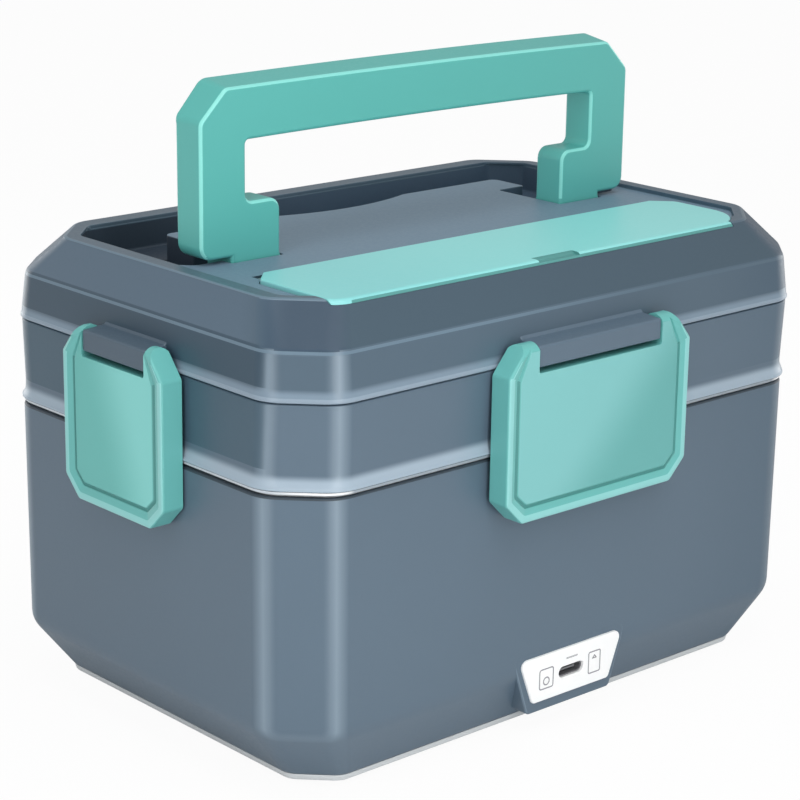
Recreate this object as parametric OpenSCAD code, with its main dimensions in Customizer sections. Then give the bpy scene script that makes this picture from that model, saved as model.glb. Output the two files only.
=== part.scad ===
// Electric lunch box: a heated base, a steel container, an upper food tray and a lid
// with a fold-down handle, four clamping latches and a cutlery compartment.
// Millimetres, +Z up. The origin is under the middle of the feet.
// The socket is on the front, which faces -Y. The long side runs along X.

/* [Casing] */
// Width of the base at its top edge
body_w = 230; // [215:1:250]
// Depth of the base at its top edge
body_d = 156.4; // [148:0.2:170]
// Height of the slate shell of the base
base_h = 93.9; // [86:0.1:105]
// Leg of the flat that cuts each upright corner
corner_cut = 16; // [14:0.5:19]
// Radius that blends the corner flats into the walls
corner_blend = 13; // [9:0.5:15]
// Thickness of the slate plastic walls
wall = 2.4; // [2:0.1:2.8]
// Height of the sloped band at the foot of the base
bevel_h = 18; // [14:0.5:20]
// How far that band draws in at the ends
bevel_in_x = 12; // [8:0.5:13]
// How far that band draws in at the front and back
bevel_in_y = 8.2; // [6:0.2:9]
// How far the wall draws in from the top edge to the band
draft_x = 0.9; // [0:0.1:1.5]

/* [Lid] */
// Height of the lower band of the lid, with its flared lip
band_h = 26.7; // [24:0.1:32]
// Height of the upright wall above the ridge
upper_h = 15.4; // [14:0.1:20]
// Height of the sloping shoulder
shoulder_h = 12.2; // [10:0.2:14]
// How far the shoulder draws in at the ends
shoulder_in_x = 8.4; // [6:0.2:10]
// How far the shoulder draws in at the front and back
shoulder_in_y = 10.4; // [8:0.2:11]
// How far the flared lip stands out
lip_out = 1.3; // [0.8:0.1:1.6]
// Width of the flat rim at the ends
rim_side = 5.5; // [5:0.5:7]
// Width of the flat rim at the back
rim_back = 7.4; // [6:0.2:10]
// Depth of the deck under the rim
deck_drop = 1.4; // [1:0.1:1.6]
// Thickness of the deck
deck_t = 2.4; // [2:0.1:2.6]
// Height of the seal between lid and base
seal_h = 1.15; // [0.8:0.05:1.4]

/* [Handle] */
// Width of the handle over its legs
handle_w = 188; // [180:1:190]
// Height of the handle's top over the deck
handle_h = 54.6; // [52:0.2:54.8]
// Thickness of the handle from front to back
handle_t = 12.5; // [10:0.5:13]
// Height of the grip bar
bar_h = 16.9; // [14:0.1:17]
// Width of each leg
leg_w = 17.8; // [15:0.2:18.4]
// Width of each foot
foot_w = 31.4; // [29:0.2:33]
// Height of each foot's step over the deck
foot_h = 18.4; // [14:0.2:20]
// Leg of the flats on the two upper corners
handle_cut = 10; // [6:0.5:12]
// Bevel along the handle's edges
handle_bevel = 1; // [0.5:0.1:1.2]
// Height by which the back edge of the grip's top stands over its front edge
handle_slant = 1.6; // [0.2:0.2:1.8]
// Rise of the grip in the middle
handle_arch = 0.6; // [0.2:0.1:0.8]
// Depth of the finger scoop in the middle of the deck
scoop_d = 5.5; // [3:0.5:7]
// Half length of the finger scoop
scoop_l = 30; // [22:1:38]

/* [Latches] */
// Width of the front and back latch
latch_w_long = 81; // [70:1:90]
// Width of the latch at each end
latch_w_short = 51.4; // [48:0.2:58]
// Height of each latch under its pin
latch_drop = 52; // [48:0.5:56]
// Distance from the lid's ridge to the pin
latch_pin_out = 4.7; // [4.4:0.1:5.2]
// Radius of the rounded ears round the pin
ear_r = 4.4; // [4:0.1:4.4]
// Thickness of a latch's face
latch_t = 2.8; // [2.4:0.1:3.2]
// Width of the raised frame round the face
frame_w = 5.2; // [4.4:0.2:7]
// Width of the groove inside that frame
groove_w = 1.2; // [0.8:0.1:1.6]
// Depth of that groove
groove_d = 0.5; // [0.3:0.1:0.7]
// Half height of the square lug between the ears
lug_r = 3.4; // [3:0.1:3.5]
// Height of the latch bead over the casing
bead_out = 1; // [0.6:0.1:1.1]

/* [Cutlery compartment] */
// Half width of the cover
cover_x = 92.5; // [90:0.5:96]
// Distance from the middle of the lid to the back edge of the cover
cover_back = 25; // [22:0.5:28]
// Thickness of the cover
cover_t = 3.2; // [2.8:0.1:3.6]
// Leg of the flats on the two back corners of the cover
cover_cut = 8; // [6:0.5:14]
// Radius of the cover's right front corner
cover_corner = 11; // [8:0.5:12]
// Thickness of the cover's front lip
cover_lip = 1.4; // [1.2:0.1:1.8]
// Half length of the finger notch
notch_x = 9; // [8:1:20]
// Depth of the compartment
well_d = 17; // [12:0.5:19]
// Length of the spoon
spoon_l = 150; // [120:1:160]
// Width of the spoon's bowl
spoon_w = 26; // [20:1:28]

/* [Food containers] */
// Thickness of the steel
steel_t = 0.8; // [0.6:0.1:1.2]
// Radius of the container's upright corners
pot_corner = 22; // [18:1:26]
// Height of the tray over the container's rim
tray_up = 22; // [16:0.5:24]
// Depth of the tray under the container's rim
tray_down = 12; // [8:0.5:20]
// Thickness of the tray's walls
tray_t = 1.6; // [1.2:0.1:2]
// Place of the tray's divider along X
divider_x = -22; // [-40:1:40]

/* [Heating] */
// Length of the heating plate
heat_l = 130; // [110:1:150]
// Width of the heating plate
heat_w = 62; // [50:1:66]
// Radius of the heating tube
tube_r = 3; // [2.5:0.1:3.4]
// Spacing of the heating tube's two runs
tube_gap = 34; // [26:1:44]
// Radius of the thermostat
thermostat_r = 8; // [6:0.5:10]

/* [Socket] */
// Width of the white plate at its top
plate_top = 47; // [44:0.5:52]
// Width of the white plate at its foot
plate_foot = 35; // [30:0.5:38]
// Height of the white plate
plate_h = 15.7; // [14:0.1:16.5]
// Height of the plate's foot over the surface
plate_z = 10.8; // [10.2:0.1:12]
// How far the plate stands proud
plate_out = 1; // [0.6:0.1:1.4]
// Width of the port
port_w = 11.4; // [9.6:0.1:12]
// Height of the port
port_h = 3.8; // [3.4:0.1:4.4]

/* [Feet and fasteners] */
// Thickness of the pale bottom cover
cover_plate_t = 2.4; // [2.2:0.1:3]
// How far the rubber feet stand out
foot_out = 1.6; // [1.2:0.1:2.5]
// Radius of the rubber feet
foot_r = 7; // [5:0.5:9]
// Shank radius of the screws
screw_r = 1.4; // [1.2:0.1:1.6]
// Radius of the pins in the latches
latch_pin_r = 1.25; // [1:0.05:1.5]
// Radius of the two pins in the handle
handle_pin_r = 2; // [1.6:0.1:2.4]
// Radius of the two pins in the cover
cover_pin_r = 0.7; // [0.6:0.05:0.75]

/* [Clearances] */
// Running clearance of a pin in its bore, on the radius
run = 0.05; // [0.03:0.01:0.08]
// Gap between parts that lift in and out
lift = 0.35; // [0.3:0.05:0.5]
// Gap under the seal at rest
rest = 0.05; // [0.02:0.01:0.1]

/* [Hidden] */
$fn = 40;
eps = 0.01;
slate = "#65747f";
teal = "#58a99f";
mint = "#8fcfc9";
pale = "#dfe3e4";
steel = "#b9bec2";

// Segments of each 45 degree corner arc
arc_n = 3;
tan_half = tan(22.5);

// Levels, from the surface up
base_z = foot_out + cover_plate_t;
shell_top = base_z + base_h;
liner_lip = 0.6;
liner_top = shell_top + liner_lip;
seal_z = liner_top + rest;
band_z = seal_z + seal_h;
ridge_z = band_z + band_h;
ridge_gap = 0.5;
shoulder_z = ridge_z + upper_h;
rim_z = shoulder_z + shoulder_h;
deck_z = rim_z - deck_drop;

// Sections of the casing: half width, half depth, corner flat, corner blend
sec_seam = [body_w / 2, body_d / 2, corner_cut, corner_blend];
sec_wall = sec_seam - [draft_x, 0, 0, 0];
sec_foot = sec_wall - [bevel_in_x, bevel_in_y, corner_cut * 0.23, corner_blend * 0.4];
sec_ridge = sec_seam + [0.1, 0.7, -0.3, 0];
sec_shoulder = sec_ridge - [1.1, 1.4, 0.3, 1];
sec_rim = sec_shoulder - [shoulder_in_x, shoulder_in_y, -0.8, 3];

// Handle
pivot_z = deck_z - 2.4;
handle_top = deck_z + handle_h;
bar_z = handle_top - bar_h;
foot_top = deck_z + foot_h;
leg_x = handle_w / 2;
leg_in = leg_x - leg_w;
foot_in = leg_x - foot_w;
foot_side = leg_x - 12;
recess_floor = pivot_z - handle_t / 2 - 0.6;
plateau_x = foot_in - 0.7;
pin_hold = 10;
plateau_wide = leg_in - 1.6;
plateau_step = foot_top - pivot_z + 3;
plateau_back = bar_z - pivot_z - 0.7;
recess_front = -handle_t / 2 - 0.65;
rim_in_y = sec_rim[1] - rim_back;
rim_in_x = sec_rim[0] - rim_side;

// Latches
pin_z = ridge_z + 3.6;
latch_back_y = 3.3;
ear_gap = 0.3;
ear_cut = 7.5;
ear_long = 13;
ear_short = 9.5;
lug_long = latch_w_long / 2 - ear_long - ear_gap;
lug_short = latch_w_short / 2 - ear_short - ear_gap;
nib_y = latch_pin_out + sec_ridge[1] - sec_seam[1] - bead_out - 0.2;
nib_x = latch_pin_out + sec_ridge[0] - sec_seam[0] - bead_out - 0.2;
reach_y = sec_ridge[1] + latch_pin_out;
reach_x = sec_ridge[0] + latch_pin_out;
notch_z = -lug_r * sqrt(2) - 0.2;
pin_in = 6.7;

// Cutlery compartment
cover_z = rim_z - cover_t;
cover_axis_z = rim_z - 2.2;
cover_edge_r = rim_z - cover_axis_z;
cover_axis_y = -cover_back - cover_edge_r;
hinge_reach = 4.5;
lip_y = sec_rim[1] - 3.6;
seat_z = cover_z - rest;
ledge_t = 2.4;
well_x = 83;
well_back = cover_back + 4.6;
well_front = sec_rim[1] - 5.2;
well_flange = 1.6;
well_floor = seat_z - ledge_t - well_d;
saddle_h = 5;

// Food containers
ledge_in = 6.2;
ledge_tub = 9.4;
ledge_z = liner_top - 3;
pot_flange_t = 1;
floor_z = base_z + 22;
floor_t = 2;
plate_top_z = floor_z + floor_t + 1.2;
pot_z = plate_top_z + 0.3;
tub_corner = [0, 0, pot_corner * (2 - sqrt(2)), pot_corner * 0.995];
sec_tub = [sec_seam[0] - ledge_tub, sec_seam[1] - ledge_tub, 0, 0] + tub_corner;
tub_draft = 3.2;
pot_gap = 0.7;
liner_side = 4.5;
liner_t = 1.6;
ceiling_z = band_z + tray_up + 2.2;

// Heating
heat_flange = 4;
heat_flange_t = 3;
heat_under = floor_z - heat_flange_t;
tube_z = heat_under - tube_r;
tube_x = heat_l / 2 - 24;
stub_l = 8;
thermostat_h = 8;
tab_h = 3;

// Socket
port_z = plate_z + 7.5;
board_t = 1.6;
board_w = 62;
board_y0 = -sec_wall[1] + 9;
board_y1 = board_y0 + 30;
board_z = port_z - port_h / 2 - board_t - 0.1;

// Places of screws, posts and feet
cover_screws = [for (x = [-1, 1], y = [-1, 1]) [x * (sec_foot[0] - 16), y * (sec_foot[1] - 20)]];
feet_at = [for (x = [-1, 1], y = [-1, 1]) [x * (sec_foot[0] - 16), y * (sec_foot[1] - 36)]];
lid_posts = [[-94, -36], [94, -36], [-58, 48], [58, 48]];
post_r = 3.6;
board_posts = [for (x = [-1, 1], y = [board_y0 + 5, board_y1 - 5]) [x * (board_w / 2 - 5), y]];

// Unit vector
function unit(v) = v / norm(v);

// One closed ring of points: an octagon s, drawn in by t, with blended corners, at height z
function ring(s, z, t = 0) = let (
        hx = s[0] - t,
        hy = s[1] - t,
        c = s[2] - t * (2 - sqrt(2)),
        r = max(s[3] - t, 0.6)
    ) [for (k = [0 : 7]) let (
        q = floor(k / 2),
        sx = (q == 0 || q == 3) ? 1 : -1,
        sy = q < 2 ? 1 : -1,
        side = k == 0 || k == 3 || k == 4 || k == 7,
        cx = side ? hx - r : hx - c - r * tan_half,
        cy = side ? hy - c - r * tan_half : hy - r
    ) for (i = [0 : arc_n]) let (a = 45 * (k + i / arc_n))
        [sx * cx + r * cos(a), sy * cy + r * sin(a), z]];

// A solid through rings of equal length. Open ends are capped; a loop joins last to first.
module loft(rings, loop = false) {
    n = len(rings[0]);
    m = len(rings);
    steps = loop ? m : m - 1;
    sides = [for (j = [0 : steps - 1], i = [0 : n - 1], h = [0, 1]) let (
        a = j * n + i,
        b = j * n + (i + 1) % n,
        c = ((j + 1) % m) * n + i,
        d = ((j + 1) % m) * n + (i + 1) % n
    ) h == 0 ? [a, c, d] : [a, d, b]];
    caps = loop ? [] : [[for (i = [0 : n - 1]) i], [for (i = [n - 1 : -1 : 0]) (m - 1) * n + i]];
    polyhedron(points = [for (r = rings) each r], faces = concat(sides, caps), convexity = 6);
}

// An outline with each corner rounded to its own radius
function rounded(p, r, n = 3) = let (m = len(p)) [for (i = [0 : m - 1]) let (
        u = unit(p[(i + m - 1) % m] - p[i]),
        v = unit(p[(i + 1) % m] - p[i]),
        half = acos(u * v) / 2,
        o = p[i] + unit(u + v) * r[i] / sin(half),
        s = p[i] + u * r[i] / tan(half) - o,
        e = p[i] + v * r[i] / tan(half) - o,
        a = atan2(s[1], s[0]),
        d0 = atan2(e[1], e[0]) - a,
        d = d0 > 180 ? d0 - 360 : (d0 < -180 ? d0 + 360 : d0)
    ) each (r[i] == 0 ? [p[i]] : [for (j = [0 : n]) o + r[i] * [cos(a + d * j / n), sin(a + d * j / n)]])];

// An outline drawn in by d
function drawn_in(p, d) = let (m = len(p)) [for (i = [0 : m - 1]) let (
        u = unit(p[i] - p[(i + m - 1) % m]),
        v = unit(p[(i + 1) % m] - p[i]),
        nu = [-u[1], u[0]],
        nv = [-v[1], v[0]]
    ) p[i] + d * (nu + nv) / (1 + nu * nv)];

// An outline of the plane y = 0 at depth y, as a ring that faces -Y
function upright(p, y) = [for (q = p) [q[0], y, q[1]]];

// A plate in the plane y = 0 from y0 back to y1, with its front edge bevelled, and its back
// edge too where both is true
module bevel_plate(p, y0, y1, bevel, both = false) {
    front = [upright(p, y1 - (both ? bevel : 0)), upright(p, y0 + bevel), upright(drawn_in(p, bevel), y0)];
    back = both ? [upright(drawn_in(p, bevel), y1)] : [];
    loft(concat(back, front));
}

// A point of the Bezier curve through four control points
function bezier(p, f) = pow(1 - f, 3) * p[0] + 3 * f * pow(1 - f, 2) * p[1]
    + 3 * f * f * (1 - f) * p[2] + pow(f, 3) * p[3];

// A wire swept along a Bezier curve, with an eight-sided section
module wire(p, r, steps = 12) {
    side = [0.31, 0.17, 0.93];
    loft([for (i = [0 : steps]) let (
        o = bezier(p, i / steps),
        t = unit(bezier(p, min(i + 0.4, steps) / steps) - bezier(p, max(i - 0.4, 0) / steps)),
        u = unit(cross(t, side)),
        v = cross(t, u)
    ) [for (k = [0 : 7]) o + r * (cos(45 * k) * u + sin(45 * k) * v)]]);
}

// A cylinder along X from x0 to x1
module along_x(x0, x1, r) {
    translate([x0, 0, 0]) rotate([0, 90, 0]) cylinder(r = r, h = x1 - x0);
}

// Base casing

// Outline of the socket plate in the plane of the front wall
function plate_outline(grow = 0) = rounded(drawn_in([
        [-plate_foot / 2, plate_z],
        [plate_foot / 2, plate_z],
        [plate_top / 2, plate_z + plate_h],
        [-plate_top / 2, plate_z + plate_h]], -grow), [1.6, 1.6, 2.4, 2.4] + grow * [1, 1, 1, 1]);

// The slot of the port, from y0 to y1
module port_slot(y0, y1, grow) {
    r = port_h / 2 + grow;
    x = port_w / 2 - port_h / 2;
    for (s = [-x, x])
        translate([s, y1, port_z]) rotate([90, 0, 0]) cylinder(r = r, h = y1 - y0);
    translate([-x, y0, port_z - r]) cube([2 * x, y1 - y0, 2 * r]);
}

module socket_boss() {
    boss = rounded([
        [-plate_foot / 2 - 1.6, base_z + 3],
        [plate_foot / 2 + 1.6, base_z + 3],
        [plate_top / 2 + 3, plate_z + plate_h + 2.5],
        [-plate_top / 2 - 3, plate_z + plate_h + 2.5]], [2, 2, 3, 3]);
    bevel_plate(boss, -sec_wall[1], -sec_wall[1] + 8.5, 0.6);
}

// The bead that a latch's nib hooks under
module bead(half, reach) {
    bead_z = shell_top - 5.2;
    translate([-half, -reach - bead_out, bead_z])
        rotate([90, 0, 90])
            linear_extrude(2 * half)
                polygon([[0, 0.7], [bead_out + 0.6, 0], [bead_out + 0.6, 2.4], [0, 1.7]]);
}

module outer_shell() {
    bevel_z = base_z + bevel_h;
    color(slate)
    difference() {
        union() {
            loft([ring(sec_foot, base_z, 0.8), ring(sec_foot, base_z + 0.8),
                ring(sec_wall, bevel_z - 1.6, 0.9), ring(sec_wall, bevel_z + 2.2),
                ring(sec_seam, shell_top - 0.5), ring(sec_seam, shell_top, 0.5),
                ring(sec_seam, shell_top, wall / 2), ring(sec_seam, shell_top - 1, wall / 2),
                ring(sec_seam, shell_top - 1, wall), ring(sec_wall, bevel_z + 1, wall),
                ring(sec_foot, base_z, wall + 0.4)], loop = true);
            socket_boss();
            for (a = [0, 180]) rotate([0, 0, a]) bead(14, sec_seam[1] - 0.02);
            for (a = [-90, 90]) rotate([0, 0, a]) bead(9, sec_seam[0] - 0.02);
        }
        bevel_plate(plate_outline(0.1), -sec_wall[1] - 2, -sec_wall[1] + 1, 0.1);
        port_slot(-sec_wall[1] - 2, -sec_wall[1] + 20, 0.5);
        translate([-port_w, -sec_wall[1] + 4, board_z - 1]) cube([2 * port_w, 20,
            port_z - board_z + port_h]);
    }
}

module inner_liner() {
    color(pale)
    difference() {
        union() {
            difference() {
                loft([ring(sec_tub, floor_z, tub_draft - floor_t), ring(sec_tub, floor_z + 4,
                    tub_draft - floor_t - 1.2),
                    ring(sec_tub, ledge_z - 3, -floor_t), ring(sec_seam, shell_top - 1, wall + 0.6),
                    ring(sec_seam, shell_top - 1, wall / 2 + 0.1), ring(sec_seam, liner_top,
                        wall / 2 + 0.1),
                    ring(sec_seam, liner_top, ledge_in), ring(sec_seam, ledge_z, ledge_in),
                    ring(sec_tub, ledge_z), ring(sec_tub, floor_z + floor_t + 6, tub_draft),
                    ring(sec_tub, floor_z + floor_t, tub_draft + 4)]);
                heat_opening(0.2);
            }
            for (p = cover_screws)
                translate([p[0], p[1], base_z]) cylinder(r = post_r, h = floor_z - base_z + 0.5);
        }
        for (p = cover_screws)
            translate([p[0], p[1], base_z - 1]) cylinder(r = screw_r + 0.02, h = 14);
    }
}

// The rounded opening for the heating plate
module heat_opening(grow) {
    r = 10;
    translate([0, 0, floor_z - 1])
        linear_extrude(floor_t + 8)
            polygon(rounded([[-1, -1], [1, -1], [1, 1], [-1, 1]] * [[heat_l / 2 + grow, 0], [0,
                heat_w / 2 + grow]],
                [r, r, r, r], 4));
}

module heating_plate() {
    corner = 10;
    lens = [[-1, -1], [1, -1], [1, 1], [-1, 1]];
    color(steel) {
        translate([0, 0, floor_z - 0.5])
            linear_extrude(plate_top_z - floor_z + 0.5)
                polygon(rounded(lens * [[heat_l / 2, 0], [0, heat_w / 2]], [1, 1, 1, 1] * corner, 4));
        translate([0, 0, heat_under])
            linear_extrude(heat_flange_t)
                polygon(rounded(lens * [[heat_l / 2 + heat_flange, 0], [0, heat_w / 2 + heat_flange]],
                    [1, 1, 1, 1] * (corner + heat_flange), 4));
    }
}

module heating_element() {
    color("#8a5a44") {
        for (s = [-1, 1])
            translate([-tube_x - stub_l, s * tube_gap / 2, tube_z]) along_x(0, 2 * tube_x + stub_l, tube_r);
        translate([tube_x, 0, tube_z])
            rotate([0, 0, -90])
                rotate_extrude(angle = 180) translate([tube_gap / 2, 0]) circle(r = tube_r, $fn = 24);
        for (s = [-1, 1])
            translate([-tube_x - 2 * stub_l, s * tube_gap / 2, tube_z]) along_x(0, stub_l + 0.5, 1.2);
    }
}

module thermostat() {
    color("#33383c") {
        translate([0, 0, heat_under - thermostat_h]) cylinder(r = thermostat_r, h = thermostat_h);
        for (s = [-1, 1])
            translate([s * 5 - 1.6, -0.4, heat_under - thermostat_h - tab_h]) cube([3.2, 0.8, tab_h + 0.5]);
    }
}

module thermal_fuse() {
    fuse_r = 1.8;
    color("#c9c2a8")
    translate([14, heat_w / 2 - 3, heat_under - fuse_r]) {
        along_x(0, 14, fuse_r);
        along_x(-5, 19, 0.5);
    }
}

module control_board() {
    color("#2f6b46")
    difference() {
        translate([-board_w / 2, board_y0, board_z]) cube([board_w, board_y1 - board_y0, board_t]);
        for (p = board_posts)
            translate([p[0], p[1], board_z - 1]) cylinder(r = 1.3, h = board_t + 2);
    }
    color("#22262a")
    translate([0, 0, board_z + board_t - eps]) {
        translate([12, board_y0 + 13, 0]) cube([9, 9, 1.4]);
        translate([-24, board_y0 + 10, 0]) cube([8, 6, 2]);
        translate([-6, board_y0 + 19, 0]) cube([12, 8, 4.2]);
        translate([-20, board_y0 + 22, 0]) cylinder(r = 3, h = 4.5);
        translate([24, board_y0 + 23, 0]) cylinder(r = 2.5, h = 4.5);
    }
}

// A metal port shell with its tongue, standing on the front edge of the board
module power_socket() {
    front = -sec_wall[1] + 0.2;
    depth = 13;
    skin = 0.4;
    color(steel)
    difference() {
        port_slot(front, front + depth, -0.1);
        port_slot(front - 1, front + depth - 1.5, -0.1 - skin);
    }
    color("#22262a")
    translate([-port_w * 0.3, front + 1, port_z - 0.35]) cube([port_w * 0.6, depth - 2, 0.7]);
}

module socket_plate() {
    color("#f4f6f7")
    difference() {
        bevel_plate(plate_outline(), -sec_wall[1] - plate_out, -sec_wall[1] + 1, 0.4);
        port_slot(-sec_wall[1] - 3, -sec_wall[1] + 3, 0.05);
    }
}

module inner_wires() {
    end_x = -tube_x - 2 * stub_l - 0.1;
    tab = heat_under - thermostat_h - tab_h - 0.1;
    half = tube_gap / 2;
    edge = [0, board_y1 + 0.1, board_z + board_t / 2];
    color("#b5443a")
    wire([edge + [-28, 0, 0], edge + [-28, 12, 0], [end_x - 14, -half, tube_z], [end_x, -half, tube_z]],
        0.8);
    color("#33383c")
    wire([edge + [-22, 0, 0], edge + [-22, 26, -9], [end_x - 26, half, tube_z - 4],
        [end_x, half, tube_z]], 0.8);
    color("#d8d8d0")
    wire([edge + [2, 0, 0], edge + [2, 16, -3], [5, 0, tab - 8], [5, 0, tab]], 0.8);
}

module bottom_cover() {
    vent_l = 26;
    color(pale)
    difference() {
        union() {
            loft([ring(sec_foot, foot_out, 3), ring(sec_foot, foot_out + 0.9, 1.6), ring(sec_foot,
                base_z - 0.5, 1.1),
                ring(sec_foot, base_z, 1.1), ring(sec_foot, base_z, wall + 1.2), ring(sec_foot,
                    base_z + 3, wall + 1.4),
                ring(sec_foot, base_z + 3, wall + 2.8), ring(sec_foot, base_z, wall + 2.8)]);
            for (p = board_posts)
                translate([p[0], p[1], base_z - 0.5]) cylinder(r = 2.4, h = board_z - base_z + 0.48);
            for (p = board_posts)
                translate([p[0], p[1], board_z - 1]) cylinder(r = 1.2, h = board_t + 1);
        }
        for (p = cover_screws) {
            translate([p[0], p[1], foot_out - 1]) cylinder(r = 3.5, h = 2.2);
            translate([p[0], p[1], 0]) cylinder(r = screw_r + 0.2, h = base_z + 1);
        }
        for (p = feet_at)
            translate([p[0], p[1], -1]) cylinder(r = foot_r + 0.02, h = foot_out + 1.8);
        for (i = [-4 : 4])
            translate([i * 9 - 1.5, -vent_l / 2, 0]) cube([3, vent_l, base_z + 1]);
    }
}

module bottom_screws() {
    color(steel)
    for (p = cover_screws) {
        translate([p[0], p[1], foot_out + 0.15])
        difference() {
            cylinder(r = 3.1, h = 1.05);
            for (a = [0, 90]) rotate([0, 0, a]) translate([-1.7, -0.35, -eps]) cube([3.4, 0.7, 0.6]);
        }
        translate([p[0], p[1], foot_out + 0.5]) cylinder(r = screw_r, h = 11);
    }
}

module rubber_feet() {
    color("#3a3f43")
    for (p = feet_at)
        translate([p[0], p[1], 0]) cylinder(r = foot_r, h = foot_out + 0.8);
}

// Food containers

module steel_container() {
    flange = [sec_seam[0] - ledge_in - 0.6, sec_seam[1] - ledge_in - 0.6, 0, 0] + tub_corner + [0, 0,
        1.2, 2];
    color(steel)
    loft([ring(sec_tub, pot_z, tub_draft + 5.5), ring(sec_tub, pot_z + 1.6, tub_draft + 2.4),
        ring(sec_tub, pot_z + 6, tub_draft + pot_gap), ring(sec_tub, ledge_z, pot_gap),
        ring(flange, ledge_z), ring(flange, ledge_z + pot_flange_t),
        ring(sec_tub, ledge_z + pot_flange_t, pot_gap + steel_t),
        ring(sec_tub, pot_z + 6, tub_draft + pot_gap + steel_t),
        ring(sec_tub, pot_z + 1.6 + steel_t, tub_draft + 3.2), ring(sec_tub, pot_z + steel_t,
            tub_draft + 6.3)]);
}

module food_tray() {
    rim = ledge_z + pot_flange_t;
    inside = pot_gap + steel_t + lift + 0.4;
    top = rim + tray_up - 1;
    foot = rim - tray_down;
    color("#e9ecec") {
        loft([ring(sec_tub, foot, inside + 4), ring(sec_tub, foot + 1.4, inside + 1.6),
            ring(sec_tub, rim, inside), ring(sec_tub, rim, -1.2),
            ring(sec_tub, top - 1.6, -0.8), ring(sec_tub, top - 1.6, -2.2), ring(sec_tub, top, -2.2),
            ring(sec_tub, top, tray_t), ring(sec_tub, rim + 1.6, inside + tray_t),
            ring(sec_tub, foot + 3, inside + tray_t + 1.8), ring(sec_tub, foot + tray_t,
                inside + tray_t + 4)]);
        intersection() {
            translate([divider_x - 0.8, -body_d / 2, foot + 0.5]) cube([1.6, body_d, top - foot - 6]);
            loft([ring(sec_tub, foot + 0.4, inside + 4), ring(sec_tub, rim + 1.6, inside + 0.6),
                ring(sec_tub, top, 0.6)]);
        }
    }
}

// Lid

// Outline of the deck inside the rim
function deck_outline(t = 0) = let (
        x = rim_in_x - t,
        y1 = rim_in_y - t,
        y0 = sec_rim[1] - rim_side - t,
        c = 10 - t * 0.6
    ) rounded([[x - c, -y0], [x, -y0 + c], [x, y1 - c], [x - c, y1], [-x + c, y1], [-x, y1 - c], [-x,
        -y0 + c], [-x + c, -y0]],
        [4, 4, 4, 4, 4, 4, 4, 4]);

// The recess that the folded handle lies in, less the plateau between its legs
module recess_plan(grow) {
    x = rim_in_x + grow;
    y = rim_in_y + grow;
    c = 9;
    out = 7;
    corner = foot_side + 0.6 + grow;
    front = recess_front - grow;
    side = 4 - grow;
    difference() {
        polygon(rounded([[corner, front], [corner, -2 - grow], [x - out, -2 - grow], [x,
            -2 - grow + out], [x, y - c], [x - c, y],
            [-x + c, y], [-x, y - c], [-x, -2 - grow + out], [-x + out, -2 - grow], [-corner, -2 - grow],
                [-corner, front]],
            [0, 0, 4, 4, 3, 3, 3, 3, 4, 4, 0, 0]));
        polygon(plateau_outline(grow));
    }
}

// The plateau, with its finger scoop
function plateau_outline(t) = let (
        a = plateau_x - t,
        w = plateau_wide - t,
        s = plateau_step + t,
        b = plateau_back - t
    ) concat(
        [[-a, -40], [a, -40]],
        rounded([[a, -20], [a, s], [w, s], [w, b], [scoop_l, b]], [0, 1.2, 1.2, 3, 0]),
        [for (i = [1 : 11]) let (f = i / 12) [scoop_l - 2 * scoop_l * f,
            b - scoop_d * (1 - cos(360 * f)) / 2]],
        rounded([[-scoop_l, b], [-w, b], [-w, s], [-a, s], [-a, -20]], [0, 3, 1.2, 1.2, 0]));

// Outline of the cutlery cover and of its seat, grown by g
function cover_plan(g, front) = let (
        x = cover_x + g,
        b = -cover_back + g,
        c = cover_cut + g * 0.6,
        r = cover_corner + g,
        cx = cover_x - cover_corner,
        cy = cover_corner - sec_rim[1],
        e = cx + 0.375 * cover_corner + g
    ) concat([[e, -front], [e, cy - 0.92 * r]], [for (a = [-60 : 20 : 0]) [cx + r * cos(a), cy + r * sin(a)]],
        [[x, b - c], [x - c, b], [-x + c, b], [-x, b - c], [-x, -front]]);

// The part of a flat shape behind the cover's lip, grown by g
module behind_lip(g) {
    intersection() {
        children();
        translate([-120, -lip_y - g]) square([240, 100]);
    }
}

// The sloping shoulder and the edge of the rim
module shoulder() {
    loft([ring(sec_shoulder, shoulder_z + 1.2, 0.9), ring(sec_rim, rim_z - 0.7, -0.4),
        ring(sec_rim, rim_z, 0.5)]);
}

// One lug for a front latch, from the wall out to the pin
module lug(half, reach) {
    cut = 0.7;
    r = lug_r;
    translate([-half, -reach, pin_z])
        rotate([90, 0, 90])
            linear_extrude(2 * half)
                polygon([[-r, -r + cut], [-r + cut, -r], [latch_pin_out + 1.2, -r], [latch_pin_out + 1.2,
                    r + 1.6],
                    [latch_pin_out, r + 0.4], [-r + cut, r], [-r, r - cut]]);
}

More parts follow.
